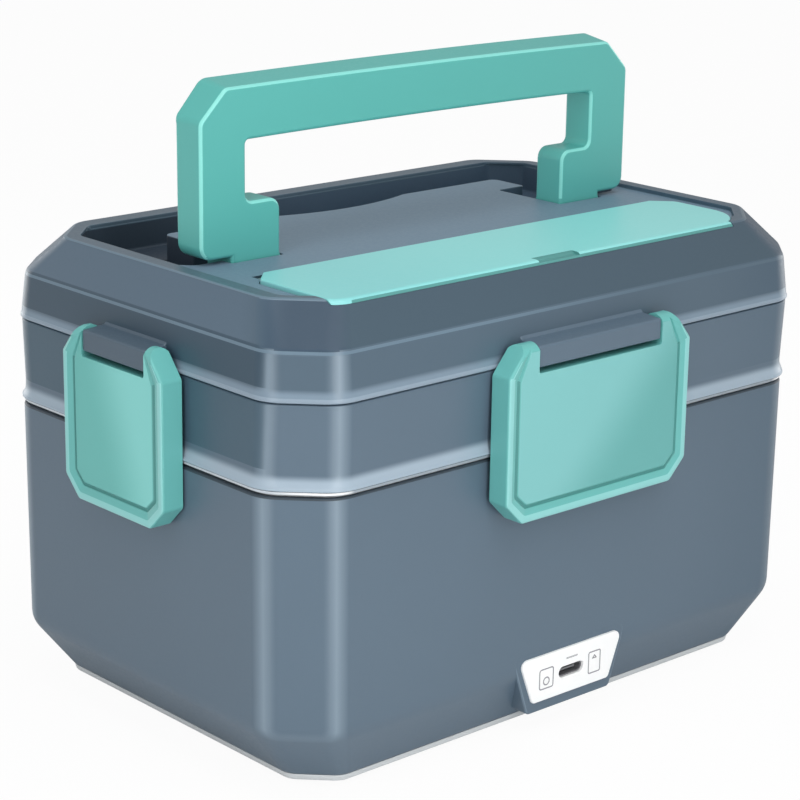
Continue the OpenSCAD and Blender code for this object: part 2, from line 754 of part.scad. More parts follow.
module lid_top() {
    base = ridge_z;
    roof = deck_z - deck_t;
    color(slate)
    difference() {
        union() {
            difference() {
                loft([ring(sec_ridge, base, -0.1), ring(sec_ridge, base + 0.3, -0.4), ring(sec_ridge,
                    base + 0.9, -0.4),
                    ring(sec_ridge, base + 1.6), ring(sec_shoulder, shoulder_z - 1.2, -0.05),
                    ring(sec_shoulder, shoulder_z, 0.15), ring(sec_shoulder, shoulder_z + 1.2, 0.9),
                    ring(sec_rim, rim_z - 0.7, -0.4), ring(sec_rim, rim_z, 0.5)]);
                loft([ring(sec_ridge, base - 1, wall), ring(sec_shoulder, shoulder_z - 1, wall),
                    ring(sec_rim, roof, wall)]);
            }
            loft([ring(sec_ridge, base - 4.5, wall + 0.3), ring(sec_ridge, base + 1, wall + 0.3),
                ring(sec_ridge, base + 3, wall - 0.4), ring(sec_ridge, base + 3, wall + 1.8),
                ring(sec_ridge, base - 4.5, wall + 1.8)], loop = true);
            translate([0, 0, recess_floor - 2]) linear_extrude(roof - recess_floor + 2.5) recess_plan(2);
            for (s = [-1, 1])
                translate([s * (plateau_x - 9) - 9, -8, pivot_z - 4.5]) cube([18, 15, roof - pivot_z + 5]);
            ledge();
            for (p = lid_posts)
                translate([p[0], p[1], ceiling_z + liner_t])
                    cylinder(r = post_r,
                        h = (p[1] > 0 ? recess_floor - 1 : roof + 0.5) - ceiling_z - liner_t);
            for (a = [0, 180]) rotate([0, 0, a]) lug(lug_long, reach_y);
            for (a = [-90, 90]) rotate([0, 0, a]) lug(lug_short, reach_x);
        }
        translate([0, 0, deck_z]) linear_extrude(deck_drop + 1) polygon(deck_outline());
        translate([0, 0, recess_floor]) linear_extrude(rim_z - recess_floor + 1) recess_plan(0);
        translate([0, 0, seat_z]) linear_extrude(cover_t + 2)
            behind_lip(lift) polygon(cover_plan(lift, sec_rim[1] + 12));
        translate([0, 0, rim_z - cover_lip - 0.1]) linear_extrude(cover_lip + 2)
            polygon(cover_plan(lift, sec_rim[1] + 12));
        translate([-well_x, -well_front, seat_z - ledge_t - 1]) cube([2 * well_x, well_front - well_back,
            ledge_t + 2]);
        translate([0, cover_axis_y, cover_axis_z])
            along_x(-cover_x + cover_cut - hinge_reach, cover_x - cover_cut + hinge_reach,
                cover_edge_r + 0.5);
        for (s = [-1, 1]) {
            translate([0, cover_axis_y, cover_axis_z]) along_x(s < 0 ? -90 : 80, s < 0 ? -80 : 90,
                cover_pin_r + 0.01);
            translate([0, 0, pivot_z]) along_x(s < 0 ? -plateau_x - 1 : plateau_x - pin_hold,
                s < 0 ? -plateau_x + pin_hold : plateau_x + 1, handle_pin_r + 0.01);
        }
        for (p = lid_posts)
            translate([p[0], p[1], ceiling_z]) cylinder(r = screw_r + 0.02, h = 10);
        for (a = [0, 180]) rotate([0, 0, a])
            translate([0, -reach_y, pin_z]) along_x(-lug_long - 1, lug_long + 1, latch_pin_r + 0.01);
        for (a = [-90, 90]) rotate([0, 0, a])
            translate([0, -reach_x, pin_z]) along_x(-lug_short - 1, lug_short + 1, latch_pin_r + 0.01);
    }
}

// The ledge that the cutlery cover rests on
module ledge() {
    intersection() {
        translate([0, 0, seat_z - ledge_t]) linear_extrude(deck_z - deck_t - seat_z + ledge_t + 0.5)
            polygon(cover_plan(3, sec_rim[1] + 3));
        loft([ring(sec_shoulder, shoulder_z, 1), ring(sec_rim, rim_z, 1)]);
    }
}

module lid_ring() {
    color(slate)
    loft([ring(sec_seam, band_z, -lip_out + 0.4), ring(sec_seam, band_z + 0.4, -lip_out), ring(sec_seam,
        band_z + 0.9, -lip_out),
        ring(sec_seam, band_z + 2.8, -0.2), ring(sec_seam, band_z + 4, 0),
        ring(sec_ridge, ridge_z - ridge_gap), ring(sec_ridge, ridge_z - ridge_gap, 1),
        ring(sec_ridge, ridge_z, 1), ring(sec_ridge, ridge_z, wall),
        ring(sec_seam, band_z, wall)], loop = true);
}

module lid_liner() {
    color(pale)
    difference() {
        loft([ring(sec_seam, ceiling_z, liner_side + 3.6), ring(sec_seam, ceiling_z - 2,
            liner_side + liner_t + 0.6),
            ring(sec_seam, band_z, liner_side + liner_t), ring(sec_seam, band_z, wall + 0.1),
            ring(sec_seam, band_z + 1.5, wall + 0.1), ring(sec_seam, band_z + 1.5, liner_side),
            ring(sec_seam, ceiling_z + liner_t - 2, liner_side + 0.6),
            ring(sec_seam, ceiling_z + liner_t, liner_side + 2.6)]);
        for (p = lid_posts)
            translate([p[0], p[1], ceiling_z - 1]) cylinder(r = screw_r + 0.2, h = liner_t + 2);
    }
}

module seal_ring() {
    color("#f2f4f4")
    loft([ring(sec_seam, seal_z, 0.3), ring(sec_seam, seal_z + 0.3, 0), ring(sec_seam, band_z, 0),
        ring(sec_seam, band_z, liner_side + liner_t), ring(sec_seam, seal_z, liner_side + liner_t)],
            loop = true);
}

module lid_screws() {
    color(steel)
    for (p = lid_posts) translate([p[0], p[1], 0]) {
        translate([0, 0, ceiling_z - 1.1]) cylinder(r = 2.8, h = 1.1);
        translate([0, 0, ceiling_z - 0.5]) cylinder(r = screw_r, h = 10);
    }
}

module latch_pins() {
    long = latch_w_long / 2 - pin_in;
    short = latch_w_short / 2 - pin_in;
    color(steel) {
        for (a = [0, 180]) rotate([0, 0, a])
            translate([0, -reach_y, pin_z]) along_x(-long, long, latch_pin_r);
        for (a = [-90, 90]) rotate([0, 0, a])
            translate([0, -reach_x, pin_z]) along_x(-short, short, latch_pin_r);
    }
}

module handle_pins() {
    color(steel)
    for (s = [-1, 1]) translate([0, 0, pivot_z])
        along_x(s < 0 ? -foot_side + 2 : plateau_x - pin_hold,
            s < 0 ? -plateau_x + pin_hold : foot_side - 2, handle_pin_r);
}

module cover_pins() {
    color(steel)
    for (s = [-1, 1]) translate([0, cover_axis_y, cover_axis_z])
        along_x(s < 0 ? -90 : cover_x - cover_cut - 6, s < 0 ? -cover_x + cover_cut + 6 : 90, cover_pin_r);
}

// The tub under the cutlery cover
module cutlery_well() {
    top = seat_z - ledge_t;
    t = 1.4;
    out = 3.5;
    mid = -(well_front + well_back) / 2;
    half = (well_front - well_back) / 2;
    corners = [[-1, -1], [1, -1], [1, 1], [-1, 1]];
    color(pale)
    translate([0, mid, 0])
    difference() {
        union() {
            translate([0, 0, top - well_flange]) linear_extrude(well_flange)
                polygon(rounded(corners * [[well_x + out, 0], [0, half + out - 1]], [5, 5, 5, 5]));
            translate([0, 0, well_floor - t]) linear_extrude(top - well_floor + t)
                polygon(rounded(corners * [[well_x - 0.3 + t, 0], [0, half - 0.3 + t]], [5, 5, 5, 5]));
        }
        translate([0, 0, well_floor]) linear_extrude(top - well_floor + 1)
            polygon(rounded(corners * [[well_x - 0.3, 0], [0, half - 0.3]], [3.6, 3.6, 3.6, 3.6]));
    }
    color(pale)
    for (x = [-24, 44]) translate([x, mid, well_floor - 0.5]) difference() {
        translate([-2, -half + 0.2, 0]) cube([4, 2 * half - 0.4, saddle_h + 3]);
        translate([-3, -3.2, saddle_h + 0.5]) cube([6, 6.4, 4]);
    }
}

// A steel spoon that lies in the two saddles of the compartment
module spoon() {
    mid = -(well_front + well_back) / 2;
    bowl_l = spoon_w * 1.45;
    x0 = -spoon_l / 2 + bowl_l / 2;
    neck = x0 + bowl_l / 2 - 2.5;
    tip = spoon_l / 2;
    stem_t = 1.3;
    color(steel)
    translate([0, mid, well_floor + saddle_h + stem_t]) {
        difference() {
            translate([x0, 0, 0]) bowl(bowl_l / 2, spoon_w / 2, saddle_h + stem_t - 0.4);
            translate([x0, 0, 0.9]) bowl(bowl_l / 2 - 0.8, spoon_w / 2 - 0.8, saddle_h + stem_t - 0.4);
        }
        translate([0, 0, -stem_t])
            linear_extrude(stem_t)
                polygon(rounded([[neck, -2.2], [tip - 20, -2.9], [tip, -2.9], [tip, 2.9], [tip - 20,
                    2.9], [neck, 2.2]],
                    [0, 3, 2.6, 2.6, 3, 0]));
    }
}

// Lower half of an egg-shaped solid
module bowl(a, b, h) {
    n = 24;
    loft([for (k = [0 : 5]) let (e = 10 + k * 16) [for (i = [0 : n - 1]) let (t = 360 * i / n)
        [a * sin(e) * cos(t), b * sin(e) * sin(t), -h * cos(e)]]]);
}

// Moving parts of the lid

// A point of the grip, moved a share f of the way to the middle
function arched(p, f) = [p[0] * (1 - f), p[1] + handle_arch * (1 - pow(1 - f, 2))];

module handle() {
    low = deck_z + 1.6;
    soft = 3.5;
    outer = rounded([[foot_side, pivot_z], [foot_side, low], [leg_x, low], [leg_x, handle_top - handle_cut],
        [leg_x - handle_cut, handle_top], [0, handle_top]], [0, 0, 4.5, soft, soft, 0]);
    inner = rounded([[foot_in, pivot_z], [foot_in, low], [foot_in, foot_top], [leg_in, foot_top],
        [leg_in, bar_z], [0, bar_z]], [0, 0, 4, 2.5, 1.5, 0]);
    k = len(outer) - 2;
    right = concat([for (i = [0 : k]) [outer[i], inner[i]]],
        [for (f = [0.25 : 0.25 : 1]) [arched(outer[k], f), arched(inner[k], f)]]);
    left = [for (i = [len(right) - 2 : -1 : 0]) [for (p = right[i]) [-p[0], p[1]]]];
    rails = concat(right, left);
    n = len(rails);
    edge = concat([for (p = rails) p[0]], [for (i = [n - 1 : -1 : 0]) rails[i][1]]);
    inset = drawn_in(edge, handle_bevel);
    out = drawn_in(edge, -handle_slant);
    cut_z = outer[6][1];
    y = handle_t / 2;
    color(teal)
    difference() {
        union() {
            loft([for (i = [0 : n - 1]) let (
                o = rails[i][0],
                q = rails[i][1],
                end = i == 0 || i == n - 1,
                a = end ? [inset[i][0], o[1]] : inset[i],
                b = end ? [inset[2 * n - 1 - i][0], q[1]] : inset[2 * n - 1 - i],
                side = y - handle_bevel,
                m = (out[i] - o) * min(max((o[1] - cut_z) / 5, 0), 1)
            ) [[o[0] + m[0], side, o[1] + m[1]], [a[0] + m[0], y, a[1] + m[1]],
                [b[0], y, b[1]], [q[0], side, q[1]], [q[0], -side, q[1]], [b[0], -y, b[1]],
                [a[0], -y, a[1]], [o[0], -side, o[1]]]]);
            for (s = [-1, 1]) translate([s < 0 ? -foot_side : foot_in, 0, pivot_z])
                along_x(0, foot_side - foot_in, y - 0.02);
        }
        for (s = [-1, 1]) translate([0, 0, pivot_z])
            along_x(s < 0 ? -foot_side + 1.8 : foot_in - 1, s < 0 ? -foot_in + 1 : foot_side - 1.8,
                handle_pin_r + run);
    }
}

module cutlery_cover() {
    front = sec_rim[1] + 5;
    end = cover_x - cover_cut;
    plan = rounded(cover_plan(0, front), [0, 0, 0, 0, 0, 0, 3, 3, 3, 3, 0]);
    color(mint)
    difference() {
        intersection() {
            union() {
                translate([0, 0, cover_z]) linear_extrude(cover_t) behind_lip(0) polygon(plan);
                translate([0, 0, rim_z - cover_lip]) linear_extrude(cover_lip) polygon(plan);
            }
            shoulder();
            union() {
                translate([-120, -front, 0]) cube([240, front + cover_axis_y, 300]);
                translate([0, cover_axis_y, cover_axis_z]) along_x(-120, 120, cover_edge_r);
            }
        }
        for (s = [-1, 1]) translate([0, cover_axis_y, cover_axis_z])
            along_x(s < 0 ? -100 : end - 6.2, s < 0 ? -end + 6.2 : 100, cover_pin_r + run);
        translate([-notch_x, -sec_rim[1] - 2, rim_z - 0.8]) rotate([90, 0, 90])
            linear_extrude(2 * notch_x) polygon([[0, 0], [3.6, 0], [6, 1.2], [6, 2], [0, 2]]);
    }
}

// A latch that faces -Y with its pin along X through the origin. Its nib reaches back to y = tip.
module latch(w, ear_w, tip) {
    x = w / 2;
    low = -latch_drop;
    side = 2.2;
    cut = 7;
    plan = [[-x + cut, low], [x - cut, low], [x, low + cut], [x, -ear_r - 0.2], [x - ear_cut, ear_r],
        [-x + ear_cut, ear_r],
        [-x, -ear_r - 0.2], [-x, low + cut]];
    soft = rounded(plan, [2, 2, 2, 2, 1, 1, 2, 2]);
    notch = x - ear_w;
    top = notch_z - 3;
    hollow = [[-x + cut + 1, low + side], [x - cut - 1, low + side], [x - side, low + cut + 1],
        [x - side, top],
        [-x + side, top], [-x + side, low + cut + 1]];
    color(mint)
    difference() {
        intersection() {
            bevel_plate(soft, -ear_r, latch_back_y + 1.1, 0.9);
            rotate([90, 0, 90]) translate([0, 0, -x - 1]) linear_extrude(w + 2) union() {
                circle(r = ear_r, $fn = 48);
                translate([-ear_r, low - 1]) square([ear_r + latch_back_y, latch_drop + 1]);
            }
        }
        translate([-notch, -20, notch_z]) cube([2 * notch, 40, 30]);
        difference() {
            translate([0, 20, 0]) rotate([90, 0, 0]) linear_extrude(20 + ear_r - latch_t) polygon(hollow);
            nib(notch * 0.5, tip);
        }
        rotate([90, 0, 0]) translate([0, 0, ear_r - groove_d]) linear_extrude(5) difference() {
            polygon(drawn_in(plan, frame_w));
            polygon(drawn_in(plan, frame_w + groove_w));
        }
        along_x(-x + pin_in - 0.2, x - pin_in + 0.2, latch_pin_r + run);
    }
}

// The nib inside a latch, under the bead of the casing
module nib(half, tip) {
    z = shell_top - 5.2 - 1.5 - pin_z;
    root = -ear_r + latch_t - 1;
    translate([-half, 0, 0])
        rotate([90, 0, 90])
            linear_extrude(2 * half)
                polygon([[root, z - 5], [tip - 0.6, z - 2.2], [tip, z - 1.4], [tip, z], [root, z]]);
}

module latch_front() { translate([0, -reach_y, pin_z]) latch(latch_w_long, ear_long, nib_y); }
module latch_back() { rotate([0, 0, 180]) latch_front(); }
module latch_left() { rotate([0, 0, -90]) translate([0, -reach_x, pin_z]) latch(latch_w_short, ear_short,
    nib_x); }
module latch_right() { rotate([0, 0, 180]) latch_left(); }

outer_shell();
inner_liner();
heating_plate();
heating_element();
thermostat();
thermal_fuse();
control_board();
power_socket();
socket_plate();
inner_wires();
bottom_cover();
bottom_screws();
rubber_feet();
steel_container();
food_tray();
lid_top();
lid_ring();
lid_liner();
seal_ring();
lid_screws();
latch_pins();
handle_pins();
cover_pins();
cutlery_well();
spoon();
handle();
cutlery_cover();
latch_front();
latch_back();
latch_left();
latch_right();
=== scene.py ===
"""Looks of an electric lunch box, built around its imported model.

Lengths are in millimetres in the classes and in metres in Blender. X runs along the long
side, the socket faces -Y and Z is up.
"""

import logging
import math
from dataclasses import dataclass, field, replace
from enum import Enum
from typing import Callable, Iterable, Sequence

import bmesh
import bpy
from mathutils import Matrix, Vector


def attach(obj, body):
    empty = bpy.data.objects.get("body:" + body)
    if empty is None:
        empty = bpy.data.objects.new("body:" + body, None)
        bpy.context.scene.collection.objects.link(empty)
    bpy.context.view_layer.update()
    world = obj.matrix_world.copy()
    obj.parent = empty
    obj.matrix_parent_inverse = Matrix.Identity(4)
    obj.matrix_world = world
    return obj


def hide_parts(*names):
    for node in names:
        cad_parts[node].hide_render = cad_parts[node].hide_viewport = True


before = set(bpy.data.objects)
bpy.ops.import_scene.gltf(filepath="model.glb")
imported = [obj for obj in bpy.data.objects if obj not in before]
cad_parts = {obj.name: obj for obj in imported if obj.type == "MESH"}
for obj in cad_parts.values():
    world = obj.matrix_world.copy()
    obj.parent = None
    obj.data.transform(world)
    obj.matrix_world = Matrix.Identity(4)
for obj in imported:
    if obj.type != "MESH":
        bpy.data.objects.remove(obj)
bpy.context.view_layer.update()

LOG = logging.getLogger("lunch_box")
MM = 0.001  # a millimetre in metres
ARC_STEPS = 8  # segments of each rounded corner of a section
HALF_TURN_TAN = math.tan(math.radians(22.5))
BROAD_GRAIN = 14.0  # scale of the slow change of tone, per metre
BUMP_DEPTH = 0.00005  # depth of the moulding grain, in metres

Ring = list[Vector]
Outline = list[Vector]
Piece = bpy.types.Object
FaceTest = Callable[[Vector, Vector], bool]
Input = bpy.types.NodeSocket | float | Sequence[float]


# Forms

@dataclass(frozen=True)
class Section:
    """Outline of the casing at one height: an octagon whose corners are blended."""

    half_x: float
    half_y: float
    cut: float
    blend: float

    def ring(self, z: float, inset: float = 0.0) -> Ring:
        """Gives the outline as a ring of points.

        Args:
            z: Height of the ring.
            inset: How far the outline is drawn in.

        Returns:
            The points, anticlockwise seen from above.
        """
        half_x, half_y = self.half_x - inset, self.half_y - inset
        cut = self.cut - inset * (2 - math.sqrt(2))
        radius = max(self.blend - inset, 0.6)
        ring = []
        for corner in range(8):
            quadrant = corner // 2
            sign_x = 1 if quadrant in (0, 3) else -1
            sign_y = 1 if quadrant < 2 else -1
            short = cut + radius * HALF_TURN_TAN
            on_side = corner in (0, 3, 4, 7)
            centre_x = sign_x * (half_x - (radius if on_side else short))
            centre_y = sign_y * (half_y - (short if on_side else radius))
            for step in range(ARC_STEPS + 1):
                angle = math.radians(45 * (corner + step / ARC_STEPS))
                across_x, across_y = radius * math.cos(angle), radius * math.sin(angle)
                ring.append(Vector((centre_x + across_x, centre_y + across_y, z)))
        return ring

    def rings(self, *levels: tuple[float, float]) -> list[Ring]:
        """Gives one ring for each pair of a height and an inset."""
        return [self.ring(z, inset) for z, inset in levels]


def rectangle(x: float, y: float, half_x: float, half_y: float) -> list[tuple[float, float]]:
    """Gives the corners of a rectangle about (x, y), anticlockwise."""
    x0, x1, y0, y1 = x - half_x, x + half_x, y - half_y, y + half_y
    return [(x0, y0), (x1, y0), (x1, y1), (x0, y1)]


def rounded(corners: Sequence[tuple[float, float]], radii: Sequence[float], steps: int = 6) -> Outline:
    """Rounds the corners of a flat outline.

    Args:
        corners: The corners in order.
        radii: One radius for each corner.
        steps: Segments of each rounded corner.

    Returns:
        The outline as points at height 0.
    """
    points = [Vector((x, y, 0)) for x, y in corners]
    outline = []
    for index, (corner, radius) in enumerate(zip(points, radii)):
        back = (points[index - 1] - corner).normalized()
        ahead = (points[(index + 1) % len(points)] - corner).normalized()
        if radius == 0 or abs(back.dot(ahead)) > 0.9999:
            outline.append(corner.copy())
            continue
        half = back.angle(ahead) / 2
        centre = corner + (back + ahead).normalized() * radius / math.sin(half)
        start = corner + back * radius / math.tan(half) - centre
        turn = start.to_2d().angle_signed((corner + ahead * radius / math.tan(half) - centre).to_2d())
        for step in range(steps + 1):
            outline.append(centre + Matrix.Rotation(-turn * step / steps, 3, "Z") @ start)
    return outline


def arc(x: float, y: float, radius: float, degrees: Iterable[float]) -> Outline:
    """Gives the flat points of an arc.

    Args:
        x: First coordinate of the centre.
        y: Second coordinate of the centre.
        radius: Radius of the arc.
        degrees: The angle of each point.

    Returns:
        The points in the order of the angles.
    """
    turns = [math.radians(angle) for angle in degrees]
    return [Vector((x + radius * math.cos(turn), y + radius * math.sin(turn), 0)) for turn in turns]


def mirrored(outline: Sequence[Sequence[float]]) -> list[tuple[float, float]]:
    """Gives the other half of a flat outline, in reverse order and with x turned over."""
    return [(-point[0], point[1]) for point in reversed(outline)]


def drawn_in(outline: Outline, inset: float | Sequence[float]) -> Outline:
    """Draws a flat anticlockwise outline in, or lets it out where the inset is negative.

    Args:
        outline: The points, all at one height.
        inset: One distance, or one for each point.

    Returns:
        The new points.
    """
    count = len(outline)
    insets = [inset] * count if isinstance(inset, (int, float)) else list(inset)
    moved = []
    for index, point in enumerate(outline):
        before = (point - outline[index - 1]).normalized()
        after = (outline[(index + 1) % count] - point).normalized()
        left = Vector((-before.y, before.x, 0)) + Vector((-after.y, after.x, 0))
        moved.append(point + left * insets[index] / (1 + before.dot(after)))
    return moved


def at_heights(*layers: tuple[Outline, float]) -> list[Ring]:
    """Lifts flat outlines, each to its own height."""
    return [[Vector((point.x, point.y, z)) for point in outline] for outline, z in layers]


def at_depths(*layers: tuple[Outline, float]) -> list[Ring]:
    """Stands flat outlines up, each in the plane at its own depth, as seen from the front."""
    return [[Vector((point.x, y, point.y)) for point in outline] for outline, y in layers]


def across(*layers: tuple[Outline, float]) -> list[Ring]:
    """Stands flat outlines of depth and height up, each in the plane at its own x."""
    return [[Vector((x, point.x, point.y)) for point in outline] for outline, x in layers]


def softened(rings: Sequence[Ring], radii: Sequence[float], closed: bool = False,
             steps: int = 4) -> list[Ring]:
    """Rounds a stack of rings where its profile turns.

    Args:
        rings: Rings with the same number of points.
        radii: How far from each ring its rounding starts.
        closed: Whether the last ring joins the first.
        steps: Segments of each rounding.

    Returns:
        The longer stack of rings.
    """
    count = len(rings)
    stack: list[Ring] = []
    for index, (ring, radius) in enumerate(zip(rings, radii)):
        at_end = not closed and index in (0, count - 1)
        if radius == 0 or at_end:
            stack.append([point.copy() for point in ring])
            continue
        before, after = rings[index - 1], rings[(index + 1) % count]
        for step in range(steps + 1):
            share = step / steps
            blended = []
            for low, point, high in zip(before, ring, after):
                start = point + (low - point) * min(radius / max((low - point).length, 1e-6), 0.5)
                end = point + (high - point) * min(radius / max((high - point).length, 1e-6), 0.5)
                blended.append(start * (1 - share) ** 2 + point * 2 * share * (1 - share) + end * share ** 2)
            stack.append(blended)
    return stack


def add_loft(mesh: bmesh.types.BMesh, rings: Sequence[Ring], closed: bool = False) -> None:
    """Adds the skin through a stack of rings to a mesh.

    Args:
        mesh: The mesh to add to.
        rings: Rings with the same number of points.
        closed: Whether the last ring joins the first. An open stack gets end faces.
    """
    rows = [[mesh.verts.new(point * MM) for point in ring] for ring in rings]
    pairs = list(zip(rows, rows[1:])) + ([(rows[-1], rows[0])] if closed else [])
    for low, high in pairs:
        for index in range(len(low)):
            after = (index + 1) % len(low)
            mesh.faces.new((low[index], low[after], high[after], high[index]))
    if not closed:
        mesh.faces.new(list(reversed(rows[0])))
        mesh.faces.new(rows[-1])


def make_object(name: str, mesh: bmesh.types.BMesh) -> Piece:
    """Turns a mesh under construction into an object at the origin.

    Args:
        name: Name of the new object.
        mesh: The mesh, which is freed.

    Returns:
        The object, with its faces turned outwards.
    """
    bmesh.ops.remove_doubles(mesh, verts=mesh.verts, dist=1e-7)
    bmesh.ops.dissolve_degenerate(mesh, edges=mesh.edges, dist=1e-7)
    bmesh.ops.recalc_face_normals(mesh, faces=mesh.faces)
    data = bpy.data.meshes.new(name)
    mesh.to_mesh(data)
    mesh.free()
    piece = bpy.data.objects.new(name, data)
    bpy.context.scene.collection.objects.link(piece)
    return piece


def lofted(name: str, *stacks: Sequence[Ring], closed: bool = False) -> Piece:
    """Makes one object from one or more stacks of rings.

    Args:
        name: Name of the new object.
        stacks: The stacks of rings.
        closed: Whether the last ring of each stack joins its first.

    Returns:
        The new object.
    """
    mesh = bmesh.new()
    for rings in stacks:
        add_loft(mesh, rings, closed)
    return make_object(name, mesh)


def moulded(name: str, rings: Sequence[Ring], radii: Sequence[float], closed: bool = False,
            steps: int = 4) -> Piece:
    """Makes one object from a stack of rings whose edges are rounded.

    Args:
        name: Name of the new object.
        rings: Rings with the same number of points.
        radii: How far from each ring its rounding starts.
        closed: Whether the last ring joins the first.
        steps: Segments of each rounding.

    Returns:
        The new object.
    """
    return lofted(name, softened(rings, radii, closed, steps), closed=closed)


def block(name: str, low: Sequence[float], high: Sequence[float], radius: float = 0.0) -> Piece:
    """Makes a block for cutting.

    Args:
        name: Name of the new object.
        low: Its lowest corner.
        high: Its highest corner.
        radius: Radius of the upright edges.

    Returns:
        The new object.
    """
    (x0, y0, z0), (x1, y1, z1) = low, high
    outline = rounded([(x0, y0), (x1, y0), (x1, y1), (x0, y1)], [radius] * 4)
    return lofted(name, at_heights((outline, z0), (outline, z1)))


def rod(name: str, outline: Outline, low: float, high: float) -> Piece:
    """Makes a rod along X, from low to high, whose section has this outline of depth and height."""
    return lofted(name, across((outline, low), (outline, high)))


class Cut(Enum):
    """How a tool changes a body."""

    AWAY = "DIFFERENCE"
    KEEP = "INTERSECT"
    JOIN = "UNION"


def shaped(body: Piece, tools: Sequence[Piece], cut: Cut = Cut.AWAY) -> Piece:
    """Cuts a body with tools, which are used up.

    Args:
        body: The object to change.
        tools: Closed objects.
        cut: Whether the tools take away, are kept to, or are joined on.

    Returns:
        The body.
    """
    for tool in tools:
        modifier = body.modifiers.new("cut", "BOOLEAN")
        modifier.object, modifier.operation, modifier.solver = tool, cut.value, "EXACT"
        bake_modifiers(body)
        bpy.data.objects.remove(tool)
    return body


def bake_modifiers(piece: Piece) -> None:
    """Makes the modified shape the piece's own mesh.

    Args:
        piece: The piece, whose modifiers are used up.
    """
    graph = bpy.context.evaluated_depsgraph_get()
    data = bpy.data.meshes.new_from_object(piece.evaluated_get(graph))
    piece.modifiers.clear()
    piece.data = data


def smoothed(piece: Piece, angle: float = 32.0) -> Piece:
    """Shades a piece smooth up to an angle, with flat faces kept flat.

    Args:
        piece: The piece to shade.
        angle: The angle in degrees from which an edge stays sharp.

    Returns:
        The piece.
    """
    piece.data.shade_smooth()
    piece.data.set_sharp_from_angle(angle=math.radians(angle))
    modifier = piece.modifiers.new("normals", "WEIGHTED_NORMAL")
    modifier.keep_sharp = True
    bake_modifiers(piece)
    return piece


# Finishes

def linear(tint: tuple[int, int, int], gain: float = 1.0) -> tuple[float, float, float, float]:
    """Gives a shader colour.

    Args:
        tint: Red, green and blue from 0 to 255, as seen on a screen.
        gain: Share of the light that the colour gives back.

    Returns:
        The colour as the shader takes it, with full cover.
    """
    colour = []
    for share in (value / 255 for value in tint):
        level = ((share + 0.055) / 1.055) ** 2.4 if share > 0.04045 else share / 12.92
        colour.append(min(level * gain, 1.0))
    return (*colour, 1.0)


def feed(tree: bpy.types.NodeTree, node: bpy.types.Node, inputs: dict[str | int, Input]) -> None:
    """Sets or links inputs of a node.

    Args:
        tree: The tree that the node is in.
        node: The node.
        inputs: A fixed value, or the output to link, for each input.
    """
    for key, value in inputs.items():
        if isinstance(value, bpy.types.NodeSocket):
            tree.links.new(value, node.inputs[key])
        else:
            node.inputs[key].default_value = value


def add_node(tree: bpy.types.NodeTree, kind: str, inputs: dict[str | int, Input] | None = None,
             **settings: str) -> bpy.types.Node:
    """Adds a shader node.

    Args:
        tree: The tree to add to.
        kind: Type of the node, after the words that all types start with.
        inputs: A fixed value, or the output to link, for each input.
        settings: Other settings of the node.

    Returns:
        The node.
    """
    node = tree.nodes.new("ShaderNode" + kind)
    for key, value in settings.items():
        setattr(node, key, value)
    feed(tree, node, inputs or {})
    return node


@dataclass(frozen=True)
class PaintedCornerLight:
    """A painted highlight or shade on faces that look between the front and the ends.

    The stops give the share of the tint for twice the product of the two flat parts of the
    direction. The tone fades out between two steepnesses, given as the upright part.
    """

    tint: tuple[int, int, int]
    stops: tuple[tuple[float, float], ...]
    fade: tuple[float, float]


@dataclass(frozen=True)
class PaintedLightSweep:
    """A soft painted gradient of light or shade across a piece.

    The tone changes along the axis, from the start to the end, both in millimetres.
    """

    axis: tuple[float, float, float]
    start: float
    end: float
    tint: tuple[int, int, int]


